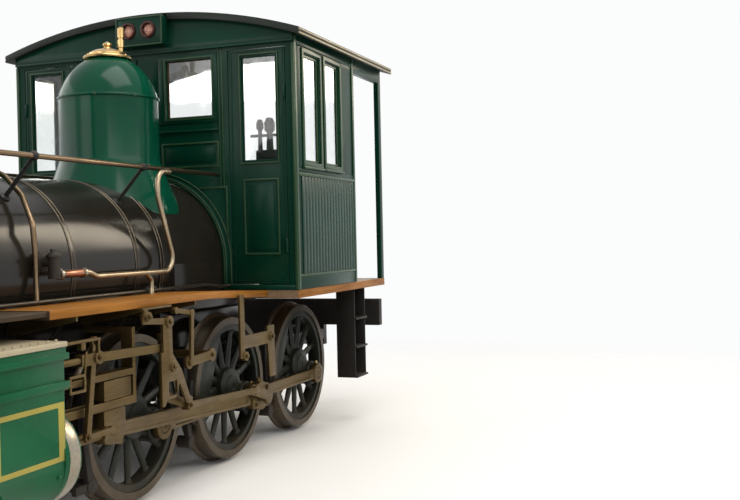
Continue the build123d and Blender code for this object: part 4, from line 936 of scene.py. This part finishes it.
class ENGINE_OT_cab_front(bpy.types.Operator):
    """Sashes, panels and beading of the cab's front wall and its doors"""
    bl_idname = "engine.cab_front"
    bl_label = "Cab front"

    def execute(self, context):
        cab = context.scene.engine_cab
        w, d, x = cab.bead_width, cab.bead_depth, CAB_X
        # Light pieces take a lighter green that paints the highlights on the raised beading and frames; dark pieces
        # keep the cab's own green
        light, dark = raised_panel(x, 0.12, 0.647, SILL + 0.99, SILL + 1.195, w, d)
        light += [
            bead("front", x, 0.158, 0.607, SILL + 1.378, SILL + 1.882, 0.012, 0.015),
            slab((x, 0.652, SILL + 0.83), (x + 0.006, 0.662, SILL + 1.945)),
            slab((x, 0.682, SILL + 0.83), (x + 0.006, 0.692, SILL + 1.945)),
            cut_plate([(0.46, SILL + 0.83), (0.46, SILL + 0.815), (0.7, SILL + 0.815), (0.7, SILL + 0.4),
                       (0.715, SILL + 0.4), (0.715, SILL + 0.83)], "front", x, 0.008),
            slab((x - 0.002, 1.298, SILL + 0.004), (x + 0.012, 1.322, 3.24), 0.005, 3),
        ]
        dark += [
            bead("front", x, 0.104, 0.648, SILL + 1.352, SILL + 1.906, 0.046, 0.009),
            slab((x, 0.1, SILL + 1.278), (x + 0.02, 0.648, SILL + 1.296), 0.004, 3),
            slab((x, 0.716, SILL + 0.004), (x + 0.01, 1.298, SILL + 0.04), 0.003),
        ]
        light, dark = both_sides(light), both_sides(dark)
        sash = both_sides([bead("front", x - 0.03, 0.1725, 0.5925, SILL + 1.3925, SILL + 1.8675, 0.016, 0.012)])
        # Three arched rings round the boiler, each with straight legs down to the sill, in the lighter green that
        # paints their highlights
        for r, at, thick in ((0.732, x + 0.003, 0.005), (0.698, x + 0.021, 0.006), (0.682, x + 0.021, 0.004)):
            drop()
            bpy.ops.mesh.primitive_torus_add(major_segments=96, minor_segments=10, major_radius=r, minor_radius=thick,
                                             rotation=(0, math.radians(90), 0))
            ring = context.object
            settle(ring)
            ring.data.transform(Matrix.Translation((at, 0, BOILER_Z)))
            light.append(trim(ring, (at, 0, BOILER_Z), (0, 0, 1)))
            light += [slab((at - thick, side * r - thick, SILL + 0.004), (at + thick, side * r + thick, BOILER_Z),
                           thick * 0.5) for side in (-1, 1)]
        dark.append(slab((x + 0.02, -1.312, SILL + 1.932), (x + 0.032, 1.312, SILL + 1.952), 0.004, 3))
        finish_piece("cab_front_joinery",
                     paint(light, "highlit_bead_green") + paint(dark, "cab_green") + paint(sash, "sash_brown"))
        x -= 0.004
        for name, flip, _ in HANDS:
            # The door's beading takes the lighter green that paints its highlights
            light, dark = raised_panel(x, 0.86, 1.17, SILL + 0.28, SILL + 0.88, w, d)
            light.append(bead("front", x, 0.836, 1.18, SILL + 0.996, SILL + 1.869, 0.012, 0.01))
            dark += [bead("front", x - 0.019, 0.8565, 1.1595, SILL + 1.0165, SILL + 1.8485, 0.014, 0.01),
                     bead("front", x, 0.765, 1.222, SILL + 0.07, SILL + 1.89, 0.008, 0.004)]
            made = moved(paint(light, "highlit_bead_green") + paint(dark, "cab_green"), flip)
            finish_piece("door_joinery_" + name, made, "cab_door_" + name)
        return {"FINISHED"}


class ENGINE_OT_cab_sides(bpy.types.Operator):
    """Window frames, sills, match boarding and corner posts of the cab's sides, and the eaves"""
    bl_idname = "engine.cab_sides"
    bl_label = "Cab sides"

    def execute(self, context):
        # The wall's outer face, and the inner edges of its corner posts
        y, rear, front = 1.316, -2.416, -1.236
        # Light pieces, the window frames, sills and corner posts, take a lighter green that paints their highlights;
        # dark pieces keep the cab's own green
        light = []
        for x0, x1 in ((-1.68, -1.37), (-2.11, -1.8)):
            light.append(bead("left", y, x0 - 0.05, x1 + 0.035, SILL + 0.97, SILL + 1.91, 0.036, 0.013, 0.005))
            light.append(bead("left", y - 0.022, x0 + 0.0005, x1 - 0.0005, SILL + 1.0055, SILL + 1.8675, 0.022, 0.012))
            light.append(slab((x0 - 0.06, y, SILL + 0.952), (x1 + 0.045, y + 0.026, SILL + 0.972), 0.006, 3))
        light += [slab((x0, y, SILL + low), (x1, y + out, high), edge, 3) for x0, x1, low, high, out, edge in (
            (front, CAB_X, 0.004, 3.3, 0.01, 0.004), (-2.45, rear, 0.004, 3.3, 0.01, 0.004),
            (rear, front, 0.893, SILL + 0.918, 0.013, 0.005), (rear, front, 0.102, SILL + 0.12, 0.01, 0.004))]
        dark = [slab((rear, y, SILL + low), (front, y + out, SILL + high), 0.003) for low, high, out in (
            (0.004, 0.102, 0.007), (0.918, 0.95, 0.006), (1.915, 1.95, 0.008))]
        wide = context.scene.engine_cab.board_width
        plank = slab((0, y, SILL + 0.121), (wide - 0.003, y + 0.007, SILL + 0.892), 0.004)
        dark += scatter(plank, [Matrix.Translation((-2.412 + wide * i, 0, 0))
                                for i in range(int((2.412 - 1.24) / wide))])
        finish_piece("cab_side_joinery", both_sides(paint(light, "highlit_bead_green") + paint(dark, "cab_green")))
        # The roof is drawn in a little, to leave room for the strips on its eaves
        bpy.data.objects["cab_roof_skin"].data.transform(Matrix.Scale(0.9935, 4, (0, 1, 0)))
        # Two strips on each eave, in a cream that paints their highlights
        lines = both_sides([slab((-3.296, 1.386, z), (-1.143, 1.3995, z + 0.012), 0.003) for z in (3.324, 3.294)])
        finish_piece("eave_strips", paint(lines, "highlight_cream"))
        return {"FINISHED"}


class ENGINE_OT_lamps(bpy.types.Operator):
    """Lamp lenses, their rims and the lamp box's edges"""
    bl_idname = "engine.lamps"
    bl_label = "Lamps"

    def execute(self, context):
        x, z = CAB_X, SILL + 2.112
        lenses, rims, faces = [], [], []
        for y in (-0.093, 0.093):
            lenses.append(turned([(0.0485, 0), (0.0485, 0.005), (0.042, 0.011), (0.03, 0.016), (0.015, 0.019),
                                  (0, 0.02)], (x + 0.113, y, z), "X", 32))
            rims.append(turned([(0.049, 0.13), (0.049, 0.138), (0.057, 0.143), (0.066, 0.138), (0.067, 0.126)],
                               (x, y, z), "X", 40, True))
            faces.append(turned([(0.045, 0.0), (0.04, 0.003), (0.0, 0.004)], (x + 0.1125, y, z), "X", 24))
        finish_piece("lamp_lens_pair", paint(lenses, "lamp_glass"), "engine", ("lamp_lenses",))
        # The box's edge bead, in a lighter green that paints its highlight
        edge = [bead("front", x + 0.118, -0.218, 0.218, z - 0.122, z + 0.114, 0.012, 0.006)]
        finish_piece("lamp_box_trim", paint(rims, "lamp_rim") + paint(faces, "gauge_face") + paint(edge, "highlit_bead_green"))
        return {"FINISHED"}


def wheel_centre(tread, flange, rim_in, hub, spokes, turn, root, tip, low):
    """Tyre, rim, hub and tapered spokes of a left wheel about the origin. low is the hub's inner end."""
    seat = rim_in + (tread - rim_in) * 0.46
    tyre = turned([(seat, 0.68), (flange - 0.014, 0.68), (flange - 0.004, 0.684), (flange, 0.69),
                   (flange - 0.001, 0.697), (flange - 0.006, 0.704), (tread + 0.008, 0.709), (tread + 0.001, 0.716),
                   (tread, 0.726), (tread - 0.0045, 0.812), (tread - 0.01, 0.82), (seat, 0.82)],
                  (0, 0, 0), "Y", 80, True)
    rim = turned([(rim_in, 0.702), (rim_in + 0.005, 0.694), (seat, 0.694), (seat, 0.808), (rim_in + 0.005, 0.808),
                  (rim_in, 0.8)], (0, 0, 0), "Y", 80, True)
    boss = turned([(0.0, low), (hub * 0.75, low), (hub * 0.8, low + 0.006), (hub * 0.8, 0.7), (hub, 0.714),
                   (hub, 0.806), (hub * 0.94, 0.818), (hub * 0.7, 0.822), (hub * 0.62, 0.824), (hub * 0.6, 0.831),
                   (hub * 0.2, 0.831), (hub * 0.18, 0.826), (0.0, 0.826)], (0, 0, 0), "Y", 48)
    arm = bar((0, 0, hub * 0.8), (0, 0, rim_in + 0.008), root, 14, 0, tip)
    foot = bar((0, 0, rim_in - 0.03), (0, 0, rim_in + 0.006), tip * 0.98, 14, 0, tip * 1.6)
    moved([arm, foot], Matrix.Translation((0, 0.75, 0)) @ Matrix.Scale(0.72, 4, (0, 1, 0)))
    take(foot, arm)
    bpy.ops.object.join()
    turns = [Matrix.Rotation(turn + math.tau * (i + 0.5) / spokes, 4, "Y") for i in range(spokes)]
    # The tyre takes the darkened steel that paints the shade under the running board
    return paint([tyre], "shaded_tyre_steel"), [rim, boss] + scatter(arm, turns)


def axle(ends, place):
    """A slim axle, drawn as (radius, half length) pairs from the middle outward."""
    line = [(r, -h) for r, h in reversed(ends[1:])] + ends
    # The axle takes the darkened steel that paints the shade under the running board
    return paint([turned(line, place, "Y", 36)], "shaded_tyre_steel")


class ENGINE_OT_wheels(bpy.types.Operator):
    """Coupled wheels with spokes, balance weights and crank pins, and the leading wheels"""
    bl_idname = "engine.wheels"
    bl_label = "Wheels"

    def execute(self, context):
        w = context.scene.engine_wheels
        for number, x in enumerate(DRIVER_X, 1):
            # The middle wheel is heavier, and its pin reaches on to the main rod's stub
            chord, end = (0.27, 0.896) if number == 2 else (0.325, 0.889)
            parts = []
            for _, flip, crank in HANDS:
                tyre, centre = wheel_centre(tread=0.548, flange=0.575, rim_in=0.436, hub=0.15, spokes=w.spokes,
                                            turn=crank, root=w.spoke_root, tip=w.spoke_tip, low=0.65)
                place = (CRANK * math.sin(crank), 0, CRANK * math.cos(crank))
                web = cut_plate([(-0.1, 0.0), (0.1, 0.0), (0.078, 0.29), (-0.078, 0.29)], "left", 0.705, 0.105, 0.01)
                boss = turned([(0.108, 0.71), (0.108, 0.822), (0.1, 0.831), (0.056, 0.832), (0.052, 0.832)], place,
                              "Y", 40)
                weight = turned([(0.437, 0.716), (0.44, 0.724), (0.44, 0.792), (0.432, 0.8), (0.0, 0.8)],
                                (0, 0, 0), "Y", 72)
                weight = round_edges(trim(weight, (0, 0, -chord), (0, 0, -1)), 0.006, 2, 70)
                moved([web, weight], Matrix.Rotation(crank, 4, "Y"))
                pin = turned([(0.052, 0.83), (0.052, end - 0.006), (0.046, end), (0.02, end), (0.016, end - 0.004),
                              (0.0, end - 0.004)], place, "Y", 32)
                # The centre takes the near-black that paints the shade under the running board
                made = tyre + paint([pin], "motion_steel") + paint(centre + [web, boss, weight], "wheel_paint")
                parts += moved(made, flip @ Matrix.Translation((x, 0, AXLE_Z)))
            parts += axle([(0.078, 0.0), (0.08, 0.6), (0.085, 0.62), (0.085, 0.655)], (x, 0, AXLE_Z))
            finish_piece("coupled_wheels_%d" % number, parts, "driver_%d" % number, ("driver_wheels_%d" % number,))
        parts = []
        for _, flip, _ in HANDS:
            tyre, centre = wheel_centre(tread=0.36, flange=0.387, rim_in=0.268, hub=0.105, spokes=10, turn=0.0,
                                        root=0.026, tip=0.019, low=0.66)
            # The leading wheels' centres take the near-black that paints the shade under the running board
            parts += moved(tyre + paint(centre, "wheel_paint"), flip @ Matrix.Translation(LEADING_AXLE))
        parts += axle([(0.066, 0.0), (0.07, 0.6), (0.07, 0.665)], LEADING_AXLE)
        finish_piece("leading_wheels", parts, "pony_axle", ("pony_wheels",))
        return {"FINISHED"}


class ENGINE_OT_cylinders(bpy.types.Operator):
    """Lining, covers, gland nuts and chest bolts of the cylinders"""
    bl_idname = "engine.cylinders"
    bl_label = "Cylinders"

    def execute(self, context):
        w = context.scene.engine_lining.lining_width
        # The jacket's outer face and ends, and the ends, depth and heights of its line
        y, x0, x1 = 1.19, 1.487, 2.063
        left, right, skin = x0 + 0.022, x1 - 0.022, y + 0.0015
        low, high = 0.58, 0.863
        lines = [slab((left, y, z), (right, skin, z + w), 0) for z in (low, high)]
        wide = w * 1.8
        lines += [slab((x, y, low + w), (x + wide, skin, high), 0) for x in (left, right - wide)]
        # The chest's top plate, in a cream that paints the highlight along its top
        cap = [slab((x0 - 0.006, 0.716, 1.176), (x1 + 0.006, y + 0.012, 1.204), 0.004, 3)]
        covers, nuts = [], []
        # Each cover's face, the jacket's end by it, the way it looks and how far its middle stands out
        for x, end, way, out in ((1.384, x0, -1, 0.018), (2.166, x1, 1, 0.03)):
            reach = -abs(end - x)
            ring = turned([(0.066, -0.02), (0.2, reach + 0.003), (0.262, reach + 0.003), (0.27, reach + 0.01),
                           (0.2715, reach + 0.02), (0.2715, -0.022), (0.268, -0.008), (0.256, 0.002), (0.24, 0.006),
                           (0.23, out * 0.5), (0.17, out * 0.8), (0.09, out), (0.066, out)], (0, 0, 0), "X", 96, True)
            covers += moved([ring], Matrix.Translation((x, CYLINDER_Y, AXLE_Z))
                            @ Matrix.Rotation(0 if way > 0 else math.pi, 4, "Z"))
            # The rear cover has no nut where the guide bars' end plate stands
            turns = [math.tau * (i + 0.5) / 14 for i in range(14) if way > 0 or i != 3]
            nuts += scatter(nut(0.013, 0.012), [aim(facing_x(x + way * 0.004, CYLINDER_Y, AXLE_Z, 0.247, a),
                                                    (way, 0, 0)) for a in turns])
        # Nuts on the chest's top, in the same cream that paints the highlight there
        caps = scatter(nut(0.011, 0.009), [aim((x0 + 0.03 + 0.0645 * i, yy, 1.203), (0, 0, 1))
                                           for i in range(9) for yy in (0.75, 1.155)])
        studs = scatter(rivet(0.013, 0.008), [aim((x, y - 0.001, 0.5), (0, 1, 0)) for x in (1.56, 1.99)])
        cocks = []
        for x in (x0 + 0.03, x1 - 0.03):
            cocks += [bar((x, CYLINDER_Y, 0.33), (x, CYLINDER_Y, 0.285), 0.014, 12),
                      bar((x, CYLINDER_Y, 0.286), (x, CYLINDER_Y, 0.27), 0.02, 6),
                      bar((x, CYLINDER_Y, 0.3), (x, 1.0, 0.292), 0.008, 10),
                      bar((x - 0.02, 0.995, 0.292), (x + 0.02, 0.995, 0.292), 0.006, 10)]
        # A small bracket behind the chest and an open frame below it
        holder = [slab((1.13, 1.118, 1.172), (1.47, 1.158, 1.186), 0.003),
                  slab((1.13, 1.13, 1.1), (1.146, 1.152, 1.174), 0.003),
                  slab((1.262, 1.12, 1.13), (1.3, 1.156, 1.174), 0.006, 3),
                  bead("left", 1.14, 1.264, 1.405, 0.9, 1.0, 0.016, 0.012),
                  bar((1.4, 1.146, 0.95), (1.49, 1.146, 0.95), 0.008, 16),
                  bar((1.27, 1.146, 0.99), (1.25, 1.146, 1.12), 0.007, 16)]
        made = (paint(lines, "lining") + paint(cap + caps, "highlight_cream") + paint(covers + nuts, "cover_steel")
                + paint(studs, "cylinder_green") + paint(cocks, "brass") + paint(holder, "motion_steel"))
        finish_piece("cylinder_details", both_sides(made))
        return {"FINISHED"}


class ENGINE_OT_fasteners(bpy.types.Operator):
    """Rivets and bolts of the smokebox, front beam, frames and motion"""
    bl_idname = "engine.fasteners"
    bl_label = "Fasteners"

    def execute(self, context):
        r = context.scene.engine_lining.rivet_radius
        spots = []
        for x, out in ((1.5, 0.642), (2.48, 0.646)):
            for a in [math.radians(-30 + 240 * i / 43) for i in range(44)]:
                spots.append(aim(facing_x(x, 0, BOILER_Z, out, a), (0, math.cos(a), math.sin(a))))
        spots += [aim(facing_x(2.5, 0, BOILER_Z, 0.6, math.tau * i / 36), (1, 0, 0)) for i in range(36)]
        finish_piece("smokebox_rivets", paint(scatter(rivet(r, r * 0.6), spots), "smokebox_black"))
        beam = [aim((3.53, y, z), (1, 0, 0)) for y in (-1.15, -0.95, -0.57, -0.3, 0.3, 0.57, 0.95, 1.15)
                for z in (0.83, 0.98)]
        beam += [aim((-3.43, y, z), (-1, 0, 0)) for y in (-1.1, -0.8, -0.5, 0.5, 0.8, 1.1) for z in (0.9, 1.05)]
        heads = scatter(nut(0.02, 0.016), beam)
        # Places (x, z) of the frames' rivets, first round each coupled axle and then along the frames
        frames = []
        for x in DRIVER_X:
            frames += [(x + dx, z) for dx in (-0.17, 0.17) for z in (0.48, 0.66)]
            frames += [(x + dx, 0.75) for dx in (-0.25, -0.08, 0.08, 0.25)]
        frames += [(x / 10, 0.75) for x in (-31, -29, -17, -6, 9, 13)]
        frames += [(x / 10, 0.84) for x in (24, 25, 27, 29, 31, 33)]
        rows = scatter(rivet(0.016, 0.01), [aim((x, s * 0.6, z), (0, s, 0)) for x, z in frames for s in (-1, 1)])
        finish_piece("frame_fasteners", paint(heads + rows, "frame_black"))
        for name, flip, crank in HANDS:
            dx, dz = CRANK * math.sin(crank), CRANK * math.cos(crank)
            cups = [turned([(0.016, 0.088), (0.016, 0.1), (0.012, 0.104), (0.012, 0.112), (0.0, 0.114)],
                           flip @ Vector((x + dx, 0.865, AXLE_Z + dz)), "Z", 20) for x in DRIVER_X]
            finish_piece("side_rod_cups_" + name, paint(cups, "brass"), "side_rod_" + name)
            # The main rod lies from the crosshead's pin down or up to the crank's pin
            flat = math.sqrt(MAIN_ROD ** 2 - dz ** 2)
            place = (Matrix.Translation((DRIVER_X[1] + dx + flat, 0, AXLE_Z))
                     @ Matrix.Rotation(math.atan2(dz, flat), 4, "Y"))
            spots = [(u, v) for u in (-0.085, 0.1) for v in (-0.066, 0.066)] + [(0.135, 0.0)]
            bolts = scatter(nut(0.015, 0.012), [place @ aim((u - MAIN_ROD, 0.962, v), (0, 1, 0)) for u, v in spots])
            wedge = turned([(0.03, 0.954), (0.03, 0.962), (0.024, 0.968), (0.0, 0.968)], (0, 0, 0), "Y", 6)
            made = paint(bolts + moved([wedge], place), "motion_steel")
            finish_piece("main_rod_bolts_" + name, moved(made, flip), "main_rod_" + name)
        # Outer ends of the valve gear's pins
        pins = [(1.003, 1.056, 1.056), (1.082, 1.026, 0.604), (1.0, 1.026, 1.146), (0.01, 1.06, 0.612),
                (-0.3, 1.056, 0.915), (0.552, 1.102, 1.252), (0.3, 1.094, 1.2), (-0.745, 1.092, 0.85),
                (-1.18, 1.094, 0.955), (0.262, 1.096, 0.905)]
        caps = scatter(nut(0.017, 0.012), [aim(pin, (0, 1, 0)) for pin in pins])
        finish_piece("motion_nuts", both_sides(paint(caps, "motion_steel")))
        return {"FINISHED"}


class ENGINE_OT_cab_inside(bpy.types.Operator):
    """Gauges, levers and the brake stand in the cab"""
    bl_idname = "engine.cab_inside"
    bl_label = "Cab inside"

    def execute(self, context):
        back, z = BACKHEAD_X, BOILER_Z + 0.33
        about = Matrix.Rotation(math.pi, 4, "Z")
        made = []
        for y in (-0.33, 0.33):
            ring = turned([(0.066, 0.03), (0.078, 0.03), (0.08, 0.036), (0.078, 0.044), (0.066, 0.046)], (0, 0, 0),
                          "X", 36, True)
            face = turned([(0.068, 0.0), (0.068, 0.002), (0.0, 0.002)], (0, 0, 0), "X", 36)
            hand = bar((back - 0.036, y - 0.02, z - 0.02), (back - 0.036, y + 0.04, z + 0.035), 0.002, 8, 0)
            made += moved(paint([ring], "brass"), Matrix.Translation((back, y, z)) @ about)
            made += moved(paint([face], "gauge_face"), Matrix.Translation((back - 0.032, y, z)) @ about)
            made += paint([hand], "cast_iron")
        made += paint([
            slab((-1.5, 0.86, SILL), (-1.42, 1.16, 2.44), 0.01, 3),
            bar((-1.46, 0.8, 2.56), (-1.46, 1.1, 2.56), 0.012, 16),
            turned([(0.02, 2.42), (0.016, 2.6), (0.03, 2.62), (0.03, 2.66), (0.018, 2.69), (0.0, 2.695)],
                   (-1.46, 0.885, 0)),
            turned([(0.03, 2.42), (0.024, 2.58), (0.042, 2.6), (0.044, 2.66), (0.026, 2.7), (0.0, 2.705)],
                   (-1.46, 0.972, 0)),
        ], "cast_iron")
        made += paint([turned([(0.0, 0.0), (0.018, 0.004), (0.024, 0.02), (0.018, 0.036), (0.0, 0.04)],
                              (-1.535, y, 2.36), "X", 20) for y in (0.9, 1.0, 1.1)], "brass")
        finish_piece("cab_controls", made)
        return {"FINISHED"}


OPERATORS = (ENGINE_OT_stage, ENGINE_OT_ironwork, ENGINE_OT_shells, ENGINE_OT_boiler, ENGINE_OT_domes,
             ENGINE_OT_cab_front, ENGINE_OT_cab_sides, ENGINE_OT_lamps, ENGINE_OT_wheels, ENGINE_OT_cylinders,
             ENGINE_OT_fasteners, ENGINE_OT_cab_inside)
SETTINGS = (("engine_paints", EnginePaints), ("engine_cab", CabSizes), ("engine_wheels", WheelSizes),
            ("engine_lining", LiningSizes))


class ENGINE_PT_panel(bpy.types.Panel):
    """Lists the engine's settings and its building steps"""
    bl_label = "Engine"
    bl_idname = "ENGINE_PT_panel"
    bl_space_type = "VIEW_3D"
    bl_region_type = "UI"
    bl_category = "Engine"

    def draw(self, context):
        column = self.layout.column()
        for name, kind in SETTINGS:
            for key in kind.__annotations__:
                column.prop(getattr(context.scene, name), key)
        for step in OPERATORS:
            column.operator(step.bl_idname)


def register():
    for name, kind in SETTINGS:
        bpy.utils.register_class(kind)
        setattr(bpy.types.Scene, name, bpy.props.PointerProperty(type=kind))
    for step in OPERATORS:
        bpy.utils.register_class(step)
    bpy.utils.register_class(ENGINE_PT_panel)


def unregister():
    bpy.utils.unregister_class(ENGINE_PT_panel)
    for step in reversed(OPERATORS):
        bpy.utils.unregister_class(step)
    for name, kind in reversed(SETTINGS):
        delattr(bpy.types.Scene, name)
        bpy.utils.unregister_class(kind)


def main():
    register()
    for step in OPERATORS:
        group, _, name = step.bl_idname.partition(".")
        getattr(getattr(bpy.ops, group), name)()


if __name__ == "__main__":
    main()
